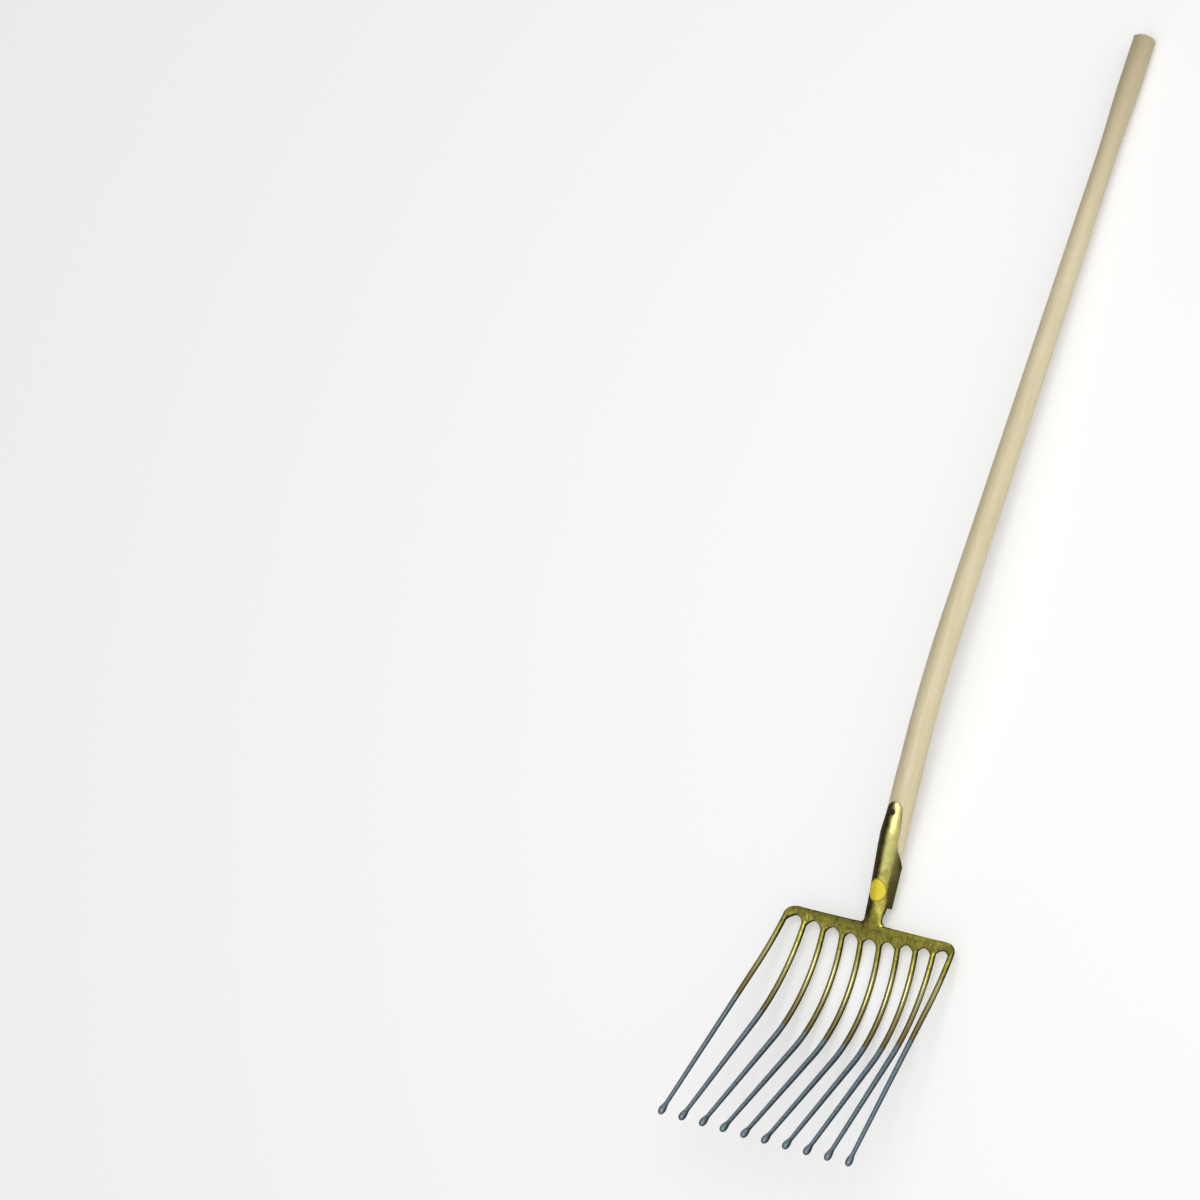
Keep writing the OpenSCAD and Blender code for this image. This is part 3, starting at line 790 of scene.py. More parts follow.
class Trees:
    """The geometry node trees: a round bar along a bent path, and the uneven skin of a forging."""

    RADIUS = "radius"
    WALL = "wall_shade"
    WALL_SHADE_SPREAD = "rim"
    WALL_SHADE_BLUR = 16
    CROWN_EDGE, CROWN_FULL = 0.45, 0.75
    WALL_FULL, WALL_EDGE = 0.2, 0.8
    WELD = 0.00002

    def __init__(self) -> None:
        """Builds both trees."""
        self.bent_bar = self._bent_bar()
        self.forged_skin = self._forged_skin()

    def _bent_bar(self) -> bpy.types.NodeTree:
        """A bar that runs straight, turns along one arc and runs straight on.

        The tree takes a row of points along X, each with its radius, bends the row in the XZ plane, sweeps a
        circle along it, turns it about Z to its place and lays it on the ground.

        Returns:
            The tree.
        """
        inputs = {
            "Geometry": "NodeSocketGeometry", "Lead": FLOAT, "Bend Radius": FLOAT, "Start Tilt": FLOAT,
            "Turn": FLOAT, "Sides": "NodeSocketInt", "Spin": FLOAT, "Stand": VECTOR, "Lay Turn": FLOAT,
            "Lay Shift": VECTOR, "Material": "NodeSocketMaterial",
        }
        nodes = group_tree("bent_bar", "GeometryNodeTree", inputs, {"Geometry": "NodeSocketGeometry"})
        given = nodes.add("NodeGroupInput").outputs
        lead_l, radius, tilt, turn = given["Lead"], given["Bend Radius"], given["Start Tilt"], given["Turn"]
        run = nodes.split(nodes.add("GeometryNodeInputPosition").outputs[0])["X"]
        past = nodes.maths("SUBTRACT", run, lead_l)
        angle = nodes.add(
            "ShaderNodeClamp", {"Value": nodes.maths("DIVIDE", past, radius), "Min": 0.0, "Max": turn},
            clamp_type="RANGE",
        ).outputs[0]
        lead = nodes.maths("MINIMUM", run, lead_l)
        bend_l = nodes.maths("MULTIPLY", radius, turn)
        tail = nodes.maths("MAXIMUM", nodes.maths("SUBTRACT", past, bend_l), 0.0)
        end = nodes.maths("ADD", tilt, turn)
        here = nodes.maths("ADD", tilt, angle)
        swing_x = nodes.maths("SUBTRACT", nodes.maths("SINE", here), nodes.maths("SINE", tilt))
        swing_z = nodes.maths("SUBTRACT", nodes.maths("COSINE", tilt), nodes.maths("COSINE", here))
        swing_x = nodes.maths("MULTIPLY", radius, swing_x)
        swing_z = nodes.maths("MULTIPLY", radius, swing_z)
        x = nodes.maths("MULTIPLY_ADD", lead, nodes.maths("COSINE", tilt), swing_x)
        z = nodes.maths("MULTIPLY_ADD", lead, nodes.maths("SINE", tilt), swing_z)
        x = nodes.maths("MULTIPLY_ADD", tail, nodes.maths("COSINE", end), x)
        z = nodes.maths("MULTIPLY_ADD", tail, nodes.maths("SINE", end), z)
        curve = nodes.add("GeometryNodeMeshToCurve", {"Mesh": given["Geometry"]}).outputs[0]
        bent = nodes.add("ShaderNodeCombineXYZ", {"X": x, "Z": z}).outputs[0]
        curve = nodes.add("GeometryNodeSetPosition", {"Geometry": curve, "Position": bent}).outputs[0]
        thickness = nodes.add("GeometryNodeInputNamedAttribute", {"Name": self.RADIUS}, data_type="FLOAT")
        circle = nodes.add("GeometryNodeCurvePrimitiveCircle", {"Resolution": given["Sides"], "Radius": 1.0})
        sweep = {"Curve": curve, "Profile Curve": circle.outputs[0], "Scale": thickness.outputs[0]}
        mesh = nodes.add("GeometryNodeCurveToMesh", {**sweep, "Fill Caps": True}).outputs[0]
        mesh = nodes.add("GeometryNodeMergeByDistance", {"Geometry": mesh, "Distance": self.WELD}).outputs[0]
        spin = nodes.add("ShaderNodeCombineXYZ", {"Z": given["Spin"]}).outputs[0]
        mesh = nodes.add(
            "GeometryNodeTransform", {"Geometry": mesh, "Translation": given["Stand"], "Rotation": spin}
        ).outputs[0]
        lay = nodes.add("ShaderNodeCombineXYZ", {"X": given["Lay Turn"]}).outputs[0]
        mesh = nodes.add(
            "GeometryNodeTransform", {"Geometry": mesh, "Translation": given["Lay Shift"], "Rotation": lay}
        ).outputs[0]
        self._close(nodes, mesh, given["Material"])
        return nodes.tree

    def _forged_skin(self) -> bpy.types.NodeTree:
        """Eases a surface's crown, moves it in and out as hammering leaves it, and notes its steep walls,
        where the lacquer paints shade.

        Returns:
            The tree.
        """
        inputs = {
            "Geometry": "NodeSocketGeometry", "Soften": "NodeSocketInt", "Crown": FLOAT, "Depth": FLOAT,
            "Drawn Depth": FLOAT, "Drawn Y": FLOAT, "Worked Y": FLOAT, "Waves": FLOAT, "Seed": FLOAT,
            "Material": "NodeSocketMaterial",
        }
        nodes = group_tree("forged_skin", "GeometryNodeTree", inputs, {"Geometry": "NodeSocketGeometry"})
        given = nodes.add("NodeGroupInput").outputs
        spot = nodes.add("GeometryNodeInputPosition").outputs[0]
        outward = {"X": nodes.split(spot)["X"], "Z": given["Crown"]}
        outward = nodes.add("ShaderNodeCombineXYZ", outward).outputs[0]
        outward = nodes.add("ShaderNodeVectorMath", {"Vector": outward}, operation="NORMALIZE").outputs[0]
        facing = nodes.add("ShaderNodeVectorMath", operation="DOT_PRODUCT")
        nodes.feed(facing.inputs[0], outward)
        nodes.feed(facing.inputs[1], nodes.add("GeometryNodeInputNormal").outputs[0])
        crown = nodes.ramp(facing.outputs["Value"], self.CROWN_EDGE, self.CROWN_FULL)
        eased = nodes.add(
            "GeometryNodeBlurAttribute", {"Value": spot, "Iterations": given["Soften"], "Weight": crown},
            data_type="FLOAT_VECTOR",
        ).outputs[0]
        soft = nodes.add(
            "GeometryNodeSetPosition", {"Geometry": given["Geometry"], "Position": eased}
        ).outputs[0]
        noise = nodes.add(
            "ShaderNodeTexNoise", {"W": given["Seed"], "Scale": given["Waves"], "Detail": 2.0},
            noise_dimensions="4D",
        ).outputs[0]
        along = nodes.split(nodes.add("GeometryNodeInputPosition").outputs[0])["Y"]
        depths = given["Drawn Depth"], given["Depth"]
        depth = nodes.ramp(along, given["Drawn Y"], given["Worked Y"], *depths)
        height = nodes.maths("MULTIPLY", nodes.maths("SUBTRACT", noise, 0.5), depth)
        normal = nodes.add("GeometryNodeInputNormal").outputs[0]
        # Mask of steep faces, which the lacquer uses for painted shade on rod sides and gap walls.
        upright = nodes.maths("ABSOLUTE", nodes.split(normal)["Z"])
        wall_shade = nodes.ramp(upright, self.WALL_FULL, self.WALL_EDGE, 1.0, 0.0)
        # Blurred wall mask, which spreads the flakes of painted shade out from the walls.
        rim = nodes.add(
            "GeometryNodeBlurAttribute", {"Value": wall_shade, "Iterations": self.WALL_SHADE_BLUR}, data_type="FLOAT"
        ).outputs[0]
        noted = soft
        for name, value in ((self.WALL, wall_shade), (self.WALL_SHADE_SPREAD, rim)):
            note = {"Geometry": noted, "Name": name, "Value": value}
            noted = nodes.add(
                "GeometryNodeStoreNamedAttribute", note, data_type="FLOAT", domain="POINT"
            ).outputs[0]
        offset = nodes.add("ShaderNodeVectorMath", {"Scale": height}, operation="SCALE")
        nodes.feed(offset.inputs[0], normal)
        moved = {"Geometry": noted, "Offset": offset.outputs[0]}
        mesh = nodes.add("GeometryNodeSetPosition", moved).outputs[0]
        self._close(nodes, mesh, given["Material"])
        return nodes.tree

    @staticmethod
    def _close(nodes: Nodes, mesh: Any, material: Any) -> None:
        """Ends a tree with smooth shading, real instances and a material.

        Args:
            nodes: The tree's nodes.
            mesh: The mesh that it puts out.
            material: The material.
        """
        mesh = nodes.add("GeometryNodeSetShadeSmooth", {"Geometry": mesh}).outputs[0]
        mesh = nodes.add("GeometryNodeRealizeInstances", {"Geometry": mesh}).outputs[0]
        mesh = nodes.add("GeometryNodeSetMaterial", {"Geometry": mesh, "Material": material}).outputs[0]
        nodes.add("NodeGroupOutput", {"Geometry": mesh})


def new_object(name: str, mesh: bpy.types.Mesh) -> bpy.types.Object:
    """Puts a mesh in the scene as an object at the origin.

    Args:
        name: The object's name.
        mesh: Its mesh.

    Returns:
        The object.
    """
    thing = bpy.data.objects.new(name, mesh)
    bpy.context.scene.collection.objects.link(thing)
    return thing


def grow(thing: bpy.types.Object, tree: bpy.types.NodeTree, values: Mapping[str, Any]) -> None:
    """Gives an object a geometry nodes modifier.

    Args:
        thing: The object.
        tree: The tree.
        values: Input values by name.
    """
    modifier = thing.modifiers.new(tree.name, "NODES")
    modifier.node_group = tree
    for item in tree.interface.items_tree:
        if item.item_type == "SOCKET" and item.in_out == "INPUT" and item.name in values:
            modifier[item.identifier] = values[item.name]


def plain(thing: bpy.types.Object) -> bpy.types.Mesh:
    """Turns an object's modifiers into one plain mesh.

    Args:
        thing: The object, which keeps no modifier.

    Returns:
        The new mesh, which the object now shows.
    """
    graph = bpy.context.evaluated_depsgraph_get()
    graph.update()
    mesh = bpy.data.meshes.new_from_object(thing.evaluated_get(graph), depsgraph=graph)
    thing.modifiers.clear()
    thing.data = mesh
    return mesh


def profile_line(name: str, outline: Iterable[tuple[float, float]]) -> bpy.types.Object:
    """A row of points along X that each hold a radius.

    Args:
        name: The object's name.
        outline: Distance along the bar and radius there.

    Returns:
        The object.
    """
    points = list(outline)
    mesh = bpy.data.meshes.new(name)
    mesh.from_pydata([(x, 0, 0) for x, _ in points], [(i, i + 1) for i in range(len(points) - 1)], [])
    radius = mesh.attributes.new(Trees.RADIUS, "FLOAT", "POINT")
    radius.data.foreach_set("value", [r for _, r in points])
    return new_object(name, mesh)


def solid_copy(node: str) -> bmesh.types.BMesh:
    """A closed copy of a CAD node's mesh.

    Args:
        node: The node's name.

    Returns:
        The copy, with its doubles merged.
    """
    copy = bmesh.new()
    copy.from_mesh(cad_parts[node].data)
    bmesh.ops.remove_doubles(copy, verts=copy.verts, dist=HAIR / 2)
    return copy


def settled(rough: bmesh.types.BMesh, name: str) -> bpy.types.Mesh:
    """Turns a rough mesh into a plain one.

    Args:
        rough: The rough mesh, which is freed.
        name: The plain mesh's name.

    Returns:
        The plain mesh.
    """
    mesh = bpy.data.meshes.new(name)
    rough.to_mesh(mesh)
    rough.free()
    return mesh


@dataclass(frozen=True)
class Forge:
    """How a forged piece is rounded off: the grain of its mesh, its rounding and its hammered skin."""

    trees: Trees
    finish: bpy.types.Material
    voxel: float = 0.0006
    rounding: int = 5
    depth: float = 0.00024
    drawn_depth: float = 0.00005
    drawn_y: float = DRAWN_Y
    worked_y: float = WORKED_Y
    waves: float = 75.0
    seed: float = 3.0
    soften: int = 0
    crown: float = 0.035

    def work(self, thing: bpy.types.Object) -> None:
        """Rounds a rough piece off and gives it its skin and finish.

        Args:
            thing: The object with the rough mesh.
        """
        remesh = thing.modifiers.new("close", "REMESH")
        remesh.mode = "VOXEL"
        remesh.voxel_size = self.voxel
        smooth = thing.modifiers.new("round", "SMOOTH")
        smooth.factor = 0.5
        smooth.iterations = self.rounding
        skin = {
            "Soften": self.soften, "Crown": self.crown, "Depth": self.depth, "Drawn Depth": self.drawn_depth,
            "Drawn Y": self.drawn_y, "Worked Y": self.worked_y, "Waves": self.waves, "Seed": self.seed,
            "Material": self.finish,
        }
        grow(thing, self.trees.forged_skin, skin)
        mesh = plain(thing)
        mesh.materials.clear()
        mesh.materials.append(self.finish)


def seat(thing: bpy.types.Object, node: str) -> None:
    """Lets a finished piece stand for its CAD node and reports it.

    Args:
        thing: The piece.
        node: The node's name.
    """
    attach(thing, BODY)
    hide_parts(node)
    LOG.info("%s: %d faces", thing.name, len(thing.data.polygons))


@dataclass(frozen=True)
class Tine:
    """One tine: a flattened foot, a bent round rod and an egg-shaped knob."""

    plan: ForkPlan
    index: int
    sides: int = 40
    spacing: float = 0.003
    root_bevel: float = 0.002
    sunk: float = 0.0004
    knob_steps: int = 24
    fullness: float = 0.95
    egg_l: float = 0.0083
    shy: float = 0.00012
    true_start: float = 0.002
    true_full: float = 0.012
    true_end: float = 0.0012
    swell_steps: int = 8
    wide_weld: float = 0.0016
    narrow_weld: float = 0.0004
    cusp_share: float = 0.70
    cusp_thickness: float = 0.72

    def outline(self) -> list[tuple[float, float]]:
        """Distance from the crossbar's back edge and radius, from the tine's root to its point.

        Returns:
            The distances and radii.
        """
        plan = self.plan
        u = plan.place(self.index)
        rod = plan.tine_d / 2
        hidden = plan.bar_t / 2 - self.sunk
        root = plan.corner_r - 2 * self.root_bevel if abs(u) == 1 else plan.back_y
        bend_r, straight = plan.curve(u)
        bent = plan.foot_length(u) + bend_r * (plan.end_tilt(u) - plan.foot_tilt(u))
        ball = bent + straight - plan.knob_l
        neck = ball - plan.knob_neck_l
        gap, foot_end = plan.gap_depth(u), plan.gap_depth(u) + plan.gap_r()
        points = [(root, hidden - self.root_bevel), (max(gap, root + self.root_bevel), hidden)]
        start = points[-1][0]
        points += [
            (start + (foot_end - start) * t, hidden + (rod - hidden) * ease(t))
            for t in arc(0, 1, self.swell_steps)[1:]
        ]
        count = math.ceil((bent - foot_end) / self.spacing)
        points += [(x, rod) for x in arc(foot_end, bent, count)[1:]]
        count = math.ceil((neck - bent) / self.spacing)
        rod_end, half = plan.tip_d / 2, plan.knob_d / 2 - self.shy
        points += [(bent + (neck - bent) * t, rod + (rod_end - rod) * t) for t in arc(0, 1, count)[1:]]
        points += [
            (neck + plan.knob_neck_l * t, rod_end + (half - rod_end) * ease(t))
            for t in arc(0, 1, self.knob_steps)[1:]
        ]
        for a in arc(0, math.pi / 2, self.knob_steps)[1:]:
            reach, width = self.egg_l * math.sin(a) ** self.fullness, half * math.cos(a) ** self.fullness
            points.append((ball + reach, max(width, HAIR)))
        return points

    def stand(self) -> Vector:
        """Where a tine's root stands on the rear edge of the crossbar, in the drawing frame.

        Returns:
            The place.
        """
        plan = self.plan
        u = plan.place(self.index)
        back = Matrix.Rotation(plan.fan(u), 3, "Z") @ Vector((0, plan.back_y, 0))
        return Vector((plan.across(u), 0, 0)) + back

    def rod(self, finish: bpy.types.Material, trees: Trees) -> bmesh.types.BMesh:
        """The round rod with its knob, in place.

        Args:
            finish: The lacquer.
            trees: The geometry node trees.

        Returns:
            The rod's mesh, still open to edits.
        """
        plan = self.plan
        u = plan.place(self.index)
        lay_turn, lay_shift = plan.lay()
        fan = plan.fan(u)
        line = profile_line("rod", self.outline())
        values = {
            "Lead": plan.foot_length(u), "Bend Radius": plan.curve(u)[0], "Start Tilt": plan.foot_tilt(u),
            "Turn": plan.end_tilt(u) - plan.foot_tilt(u), "Sides": self.sides, "Spin": fan - math.pi / 2,
            "Stand": self.stand(), "Lay Turn": lay_turn, "Lay Shift": lay_shift, "Material": finish,
        }
        grow(line, trees.bent_bar, values)
        mesh = bmesh.new()
        mesh.from_mesh(plain(line))
        bpy.data.objects.remove(line)
        return mesh

    def foot(self, node: str) -> bpy.types.Mesh:
        """The flattened foot, cut from the solid, with its sides welded into its neighbours.

        Args:
            node: The name of the tine's CAD node.

        Returns:
            The foot's mesh.
        """
        plan = self.plan
        u = plan.place(self.index)
        tilt = plan.foot_tilt(u)
        foot = solid_copy(node)
        foot_end = plan.gap_depth(u) + plan.gap_r()
        ahead = plan.laid(Vector((0, -math.cos(tilt), math.sin(tilt)))) - plan.laid(Vector((0, 0, 0)))
        end = Vector((0, plan.back_y - foot_end * math.cos(tilt), foot_end * math.sin(tilt)))
        parts = foot.verts[:] + foot.edges[:] + foot.faces[:]
        bmesh.ops.bisect_plane(foot, geom=parts, plane_co=plan.laid(end), plane_no=ahead, clear_outer=True)
        bmesh.ops.holes_fill(foot, edges=foot.edges)
        weld = self.narrow_weld if self.index % 2 else self.wide_weld
        welded = 1 + weld / (plan.pitch() / 2)
        for vert in foot.verts:
            place = plan.drawn(vert.co)
            side = place.x - plan.across(u)
            along = (plan.back_y - place.y) * math.cos(tilt) + place.z * math.sin(tilt)
            high = place.z * math.cos(tilt) - (plan.back_y - place.y) * math.sin(tilt)
            part = min(max((along - plan.gap_depth(u)) / plan.gap_r(), 0.0), 1.0) ** 2
            if abs(u) < 1 or side * u < 0:
                side *= welded + (self.cusp_share - welded) * part
            if abs(u) < 1:
                high = min(max(high, -plan.bar_t / 2), plan.bar_t / 2)
            high *= 1 + (self.cusp_thickness - 1) * part
            y = plan.back_y - along * math.cos(tilt) + high * math.sin(tilt)
            z = along * math.sin(tilt) + high * math.cos(tilt)
            vert.co = plan.laid(Vector((plan.across(u) + side, y, z)))
        return settled(foot, "foot")

    def draw_true(self, mesh: bpy.types.Mesh) -> None:
        """Draws the rod and its knob back to their true round shape, from just past the foot.

        Args:
            mesh: The forged tine's mesh.
        """
        plan = self.plan
        u = plan.place(self.index)
        lay_turn, lay_shift = plan.lay()
        lay = np.array(Matrix.Rotation(lay_turn, 3, "X"))
        spin = np.array(Matrix.Rotation(plan.fan(u) - math.pi / 2, 3, "Z"))
        stand, shift = np.array(self.stand()), np.array(lay_shift)
        flat = np.empty(3 * len(mesh.vertices))
        mesh.vertices.foreach_get("co", flat)
        spots = ((flat.reshape(-1, 3) - shift) @ lay - stand) @ spin
        radius, start, end, lead = plan.curve(u)[0], plan.foot_tilt(u), plan.end_tilt(u), plan.foot_length(u)
        centre_x = lead * math.cos(start) - radius * math.sin(start)
        centre_z = lead * math.sin(start) + radius * math.cos(start)
        angle = np.clip(np.arctan2(spots[:, 0] - centre_x, centre_z - spots[:, 2]), start, end)
        turn_x, turn_z = np.cos(angle), np.sin(angle)
        off_x = spots[:, 0] - centre_x - radius * turn_z
        off_z = spots[:, 2] - centre_z + radius * turn_x
        past = off_x * turn_x + off_z * turn_z
        run = lead + radius * (angle - start) + past
        high = off_z * turn_x - off_x * turn_z
        side = spots[:, 1]
        line = np.array(self.outline())
        foot_end = plan.gap_depth(u) + plan.gap_r()
        share = np.clip((run - foot_end - self.true_start) / self.true_full, 0, 1)
        share = share * share * (3 - 2 * share) * np.clip((line[-1, 0] - run) / self.true_end - 1, 0, 1)
        wanted = np.interp(run, line[:, 0], line[:, 1])
        scale = 1 + share * (wanted / np.maximum(np.hypot(side, high), HAIR) - 1)
        high, side = high * scale, side * scale
        spots[:, 0] = centre_x + radius * turn_z + past * turn_x - high * turn_z
        spots[:, 1] = side
        spots[:, 2] = centre_z - radius * turn_x + past * turn_z + high * turn_x
        spots = (spots @ spin.T + stand) @ lay.T + shift
        mesh.vertices.foreach_set("co", spots.ravel())
        mesh.update()

    def build(self, forge: Forge) -> bpy.types.Object:
        """Builds the tine.

        Args:
            forge: How it is rounded off.

        Returns:
            The finished piece.
        """
        node = f"tine_{self.index + 1:02d}"
        rough = self.rod(forge.finish, forge.trees)
        rough.from_mesh(self.foot(node))
        tine = new_object("forged_" + node, settled(rough, node))
        forge.work(tine)
        self.draw_true(tine.data)
        seat(tine, node)
        return tine


@dataclass(frozen=True)
class Socket:
    """The forged neck, wings and tongue, with the nail in them."""

    plan: ForkPlan
    node: str = "socket"
    weld_reach: float = 0.0006
    weld_depth: float = 0.004
    rounding: int = 8
    soften: int = 140
    skin_depth: float = 0.00016

    def build(self, forge: Forge) -> bpy.types.Object:
        """Builds the socket.

        Args:
            forge: How it is rounded off.

        Returns:
            The finished piece.
        """
        plan = self.plan
        rough = solid_copy(self.node)
        tilt = plan.foot_tilt(0)
        for vert in rough.verts:
            place = plan.drawn(vert.co)
            behind = (place.y - plan.back_y) * math.cos(tilt) - place.z * math.sin(tilt)
            if behind < self.weld_reach:
                place += Vector((0, -math.cos(tilt), math.sin(tilt))) * self.weld_depth
                vert.co = plan.laid(place)
        socket = new_object("forged_socket", settled(rough, self.node))
        replace(forge, rounding=self.rounding, soften=self.soften, depth=self.skin_depth).work(socket)
        seat(socket, self.node)
        return socket

    def dress_nail(self, material: bpy.types.Material) -> None:
        """Gives the nail, which stays as it is, its finish.

        Args:
            material: The finish.
        """
        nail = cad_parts["tongue_nail"]
        nail.data.materials.clear()
        nail.data.materials.append(material)
        LOG.info("the nail keeps its solid")


@dataclass(frozen=True)
class RoundLabel:
    """The plain label, pressed onto the finished crest."""

    node: str = "round_label"
    rings: int = 12
    sides: int = 72
    thickness: float = 0.0004
    tuck: float = 0.0003
    drop: float = 0.02

    def build(self, socket: bpy.types.Object, finish: bpy.types.Material) -> bpy.types.Object:
        """Builds the label.

        Args:
            socket: The finished socket.
            finish: The label's material.

        Returns:
            The finished piece.
        """
        low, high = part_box(self.node)
        middle, reach = (low + high) / 2, (high - low) / 2
        places = [vert.co.copy() for vert in socket.data.vertices]
        crest = BVHTree.FromPolygons(places, [face.vertices[:] for face in socket.data.polygons])
        label = bmesh.new()
        share = label.verts.layers.float.new(PlainLabel.REACH)
        rows = [(part, self.thickness) for part in arc(1 / self.rings, 1, self.rings - 1)]
        rows.append((1.0, -self.tuck))
        loops = []
        for part, lift in rows:
            loop = []
            for side in range(self.sides):
                angle = 2 * math.pi * side / self.sides
                above = middle + part * Vector((reach.x * math.cos(angle), reach.y * math.sin(angle), 0))
                above.z = high.z + self.drop
                place, normal, _, _ = crest.ray_cast(above, Vector((0, 0, -1)))
                vert = label.verts.new(place + normal * lift)
                vert[share] = part
                loop.append(vert)
            loops.append(loop)
        for inner, outer in zip(loops, loops[1:]):
            for side in range(self.sides):
                ahead = (side + 1) % self.sides
                label.faces.new((inner[side], outer[side], outer[ahead], inner[ahead]))
        label.faces.new(loops[0])
        label.faces.new(reversed(loops[-1]))
        for face in label.faces:
            face.smooth = True
        mesh = settled(label, self.node)
        mesh.materials.append(finish)
        piece = new_object("plain_label", mesh)
        seat(piece, self.node)
        return piece


@dataclass(frozen=True)
class Handle:
    """The long ash handle: a nose in the socket, one bend, a long taper, a swell and a domed end."""

    plan: ForkPlan
    crest: CrestPlan
    sides: int = 72
    spacing: float = 0.012
    front_spacing: float = 0.003
    swell_steps: int = 16
    dome_steps: int = 10

    def outline(self) -> list[tuple[float, float]]:
        """Distance along the handle from the head's reference line and radius.

        Returns:
            The distances and radii.
        """
        plan = self.plan
        tail_start = plan.bend_y + plan.bend_l
        tail_l = plan.tail()[1]
        swell_start = tail_start + tail_l - plan.end_l - plan.swell_l
        stations = [
            (plan.nose_y, MM / 10),
            (plan.nose_y, plan.nose_d / 2),
            (plan.nose_y + plan.nose_l, plan.handle_d / 2),
            (plan.taper_y, plan.handle_d / 2),
            (plan.bend_y, plan.bend_d / 2),
            (tail_start, plan.bend_d / 2),
            (swell_start, plan.grip_d / 2),
        ]
        points = [stations[0]]
        for (x0, r0), (x1, r1) in zip(stations, stations[1:]):
            spacing = self.front_spacing if x1 <= plan.taper_y else self.spacing
            count = max(1, math.ceil((x1 - x0) / spacing))
            points += [(x0 + (x1 - x0) * t, r0 + (r1 - r0) * t) for t in arc(0, 1, count)[1:]]
        rise = (plan.end_d - plan.grip_d) / 2
        points += [
            (swell_start + plan.swell_l * t, plan.grip_d / 2 + rise * ease(t))
            for t in arc(0, 1, self.swell_steps)[1:]
        ]
        dome_r = plan.dome_r()
        middle = tail_start + tail_l - dome_r
        edge = math.asin(plan.end_d / 2 / dome_r)
        points += [
            (middle + dome_r * math.cos(a), max(dome_r * math.sin(a), MM / 20))
            for a in arc(edge, 0, self.dome_steps)
        ]
        return points

    def build(self, finish: bpy.types.Material, trees: Trees) -> bpy.types.Object:
        """Builds the handle.

        Args:
            finish: Its material.
            trees: The geometry node trees.

        Returns:
            The finished piece.
        """
        plan = self.plan
        lay_turn, lay_shift = plan.lay()
        handle = profile_line("ash_handle", self.outline())
        values = {
            "Lead": plan.bend_y, "Bend Radius": -plan.tail()[0], "Start Tilt": 0.0,
            "Turn": -math.radians(plan.bend_angle), "Sides": self.sides, "Spin": math.pi / 2,
            "Stand": Vector((0, 0, 0)), "Lay Turn": lay_turn, "Lay Shift": lay_shift, "Material": finish,
        }
        grow(handle, trees.bent_bar, values)
        for vert in plain(handle).vertices:
            place = plan.drawn(vert.co)
            if place.y < self.crest.crest_end:
                vert.co = plan.laid(self.crest.draw_in(place))
        seat(handle, "handle")
        return handle


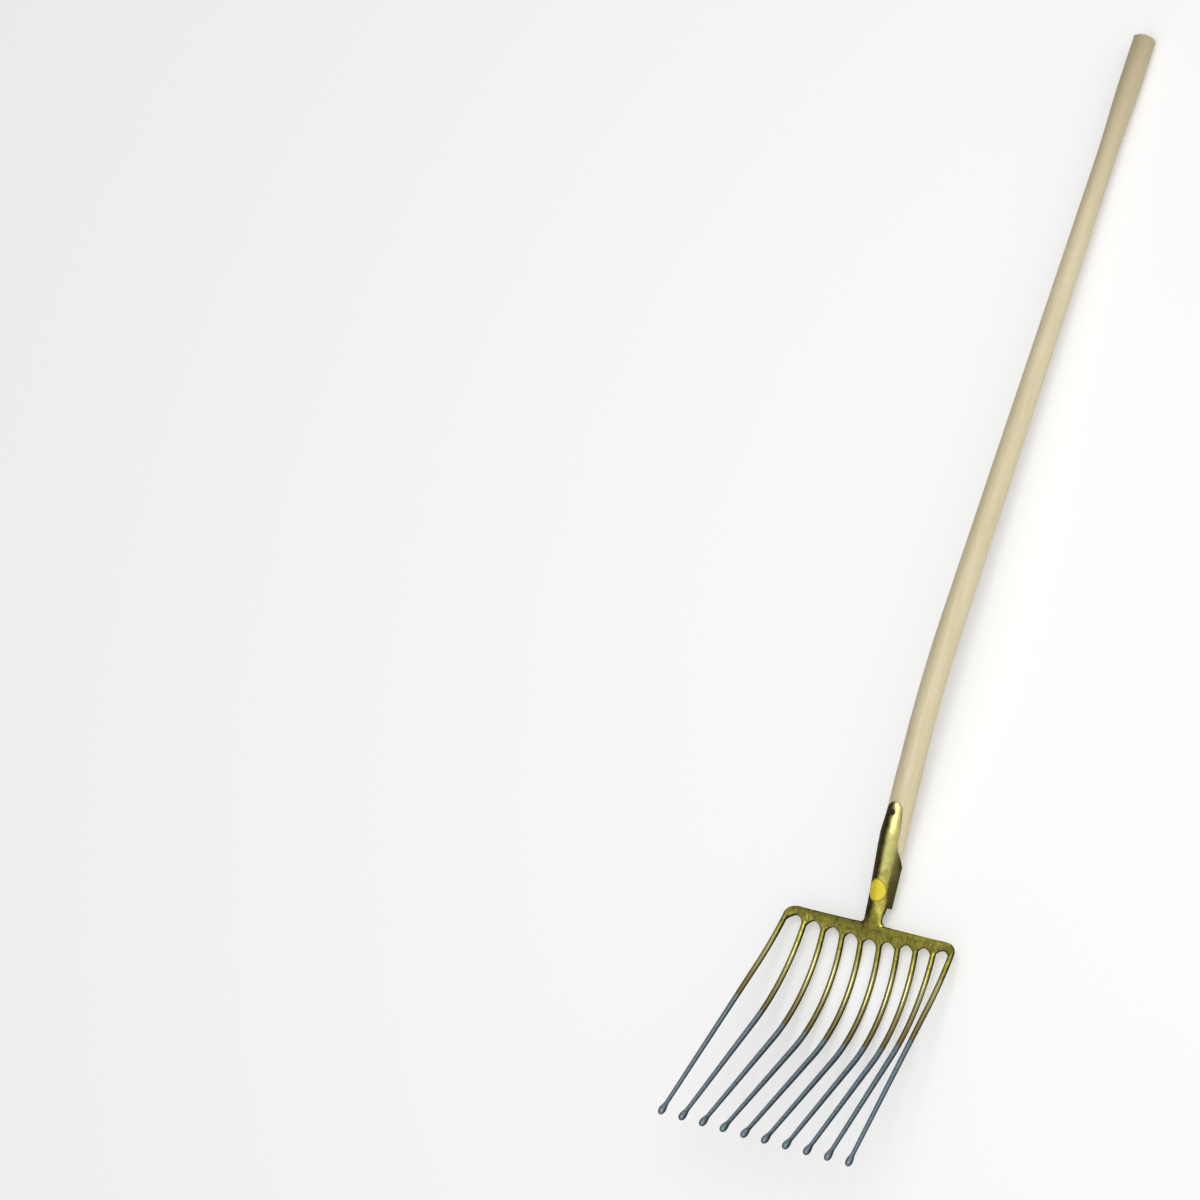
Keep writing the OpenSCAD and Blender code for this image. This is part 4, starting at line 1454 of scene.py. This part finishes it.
@dataclass(frozen=True)
class Studio:
    """A plain pale floor, soft light and a camera at the photograph's viewing angle."""

    azimuth: float = 73.02
    elevation: float = 56.79
    roll: float = -58.02
    aim: Vector = field(default_factory=lambda: Vector((-0.3441, -0.2123, 0.438)))
    distance: float = 6.621
    focal_px: float = 4720.0
    frame_px: float = 1200.0
    sensor: float = 36.0
    floor_size: float = 60.0
    dark_side: float = -0.85
    lit_side: float = 0.15
    dark_level: float = 0.06
    lit_level: float = 0.87
    floor_tone: float = 0.80
    floor_glow: float = 0.25
    floor_rough: float = 0.9
    far: float = 100.0
    key_azimuth: float = 90.0
    key_elevation: float = 74.0
    key_distance: float = 3.0
    key_side: float = 1.4
    key_power: float = 26.0

    def direction(self, azimuth: float, elevation: float) -> Vector:
        """Direction from the object to a place round it, from -Y towards +X and upwards.

        Args:
            azimuth: Turn from -Y towards +X, in degrees.
            elevation: Height above the ground, in degrees.

        Returns:
            The direction, one metre long.
        """
        level = math.cos(math.radians(elevation))
        turn = math.radians(azimuth)
        return Vector((math.sin(turn) * level, -math.cos(turn) * level, math.sin(math.radians(elevation))))

    def camera(self) -> None:
        """Places the camera."""
        data = bpy.data.cameras.new("camera")
        data.sensor_width = self.sensor
        data.lens = self.focal_px / self.frame_px * self.sensor
        data.clip_end = self.far
        camera = bpy.data.objects.new("camera", data)
        bpy.context.scene.collection.objects.link(camera)
        away = self.direction(self.azimuth, self.elevation)
        level = away.to_track_quat("Z", "Y").to_matrix()
        camera.matrix_world = Matrix.Translation(self.aim + away * self.distance) @ (
            level @ Matrix.Rotation(math.radians(self.roll), 3, "Z")
        ).to_4x4()
        bpy.context.scene.camera = camera

    def key_lamp(self) -> None:
        """Places one soft square lamp that faces the fork."""
        data = bpy.data.lights.new("key", "AREA")
        data.size = self.key_side
        data.energy = self.key_power
        lamp = bpy.data.objects.new("key", data)
        bpy.context.scene.collection.objects.link(lamp)
        away = self.direction(self.key_azimuth, self.key_elevation)
        facing = away.to_track_quat("Z", "Y").to_matrix().to_4x4()
        lamp.matrix_world = Matrix.Translation(away * self.key_distance) @ facing

    def floor(self) -> None:
        """Lays the pale floor, which looks white to the camera and in gloss and still takes shadows."""
        mesh = bpy.data.meshes.new("floor")
        half = self.floor_size / 2
        corners = [(-half, -half, 0), (half, -half, 0), (half, half, 0), (-half, half, 0)]
        mesh.from_pydata(corners, [], [(0, 1, 2, 3)])
        floor = new_object("floor", mesh)
        material = bpy.data.materials.new("floor")
        material.use_nodes = True
        nodes = Nodes(material.node_tree)
        shader = material.node_tree.nodes["Principled BSDF"]
        shader.inputs["Base Color"].default_value = rgba((self.floor_tone,) * 3)
        shader.inputs["Roughness"].default_value = self.floor_rough
        shader.inputs["Emission Color"].default_value = (1, 1, 1, 1)
        path = nodes.add("ShaderNodeLightPath").outputs
        seen = nodes.maths("MAXIMUM", path["Is Camera Ray"], path["Is Glossy Ray"])
        seen = nodes.maths("MAXIMUM", seen, path["Is Transmission Ray"])
        nodes.feed(shader.inputs["Emission Strength"], nodes.maths("MULTIPLY", seen, self.floor_glow))
        mesh.materials.append(material)

    def world(self) -> None:
        """Fills the room with soft light, which comes from above and from the fork's +X side."""
        world = bpy.data.worlds.new("room")
        world.use_nodes = True
        nodes = Nodes(world.node_tree)
        way = nodes.add("ShaderNodeTexCoord").outputs["Generated"]
        side = nodes.split(way)["X"]
        background = world.node_tree.nodes["Background"]
        background.inputs["Color"].default_value = (1, 1, 1, 1)
        level = nodes.ramp(side, self.dark_side, self.lit_side, self.dark_level, self.lit_level)
        nodes.feed(background.inputs["Strength"], level)
        bpy.context.scene.world = world

    def build(self) -> None:
        """Builds the studio."""
        bpy.context.scene.view_settings.view_transform = "Standard"
        self.world()
        self.floor()
        self.camera()
        self.key_lamp()


def main() -> None:
    """Builds the fork and its studio."""
    logging.basicConfig(level=logging.INFO, format="%(name)s: %(message)s")
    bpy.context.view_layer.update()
    plan = ForkPlan()
    groups = ShaderGroups()
    trees = Trees()
    lacquer = ForgedLacquer("forged_lacquer").material(groups)
    forge = Forge(trees, lacquer)
    for index in range(plan.tine_count):
        Tine(plan, index).build(forge)
    socket = Socket(plan)
    forged = socket.build(forge)
    RoundLabel().build(forged, PlainLabel("plain_label").material(groups))
    socket.dress_nail(NailSteel("nail_steel").material(groups))
    Handle(plan, CrestPlan()).build(SandedAsh("sanded_ash").material(groups), trees)
    Studio().build()


if __name__ == "__main__":
    main()
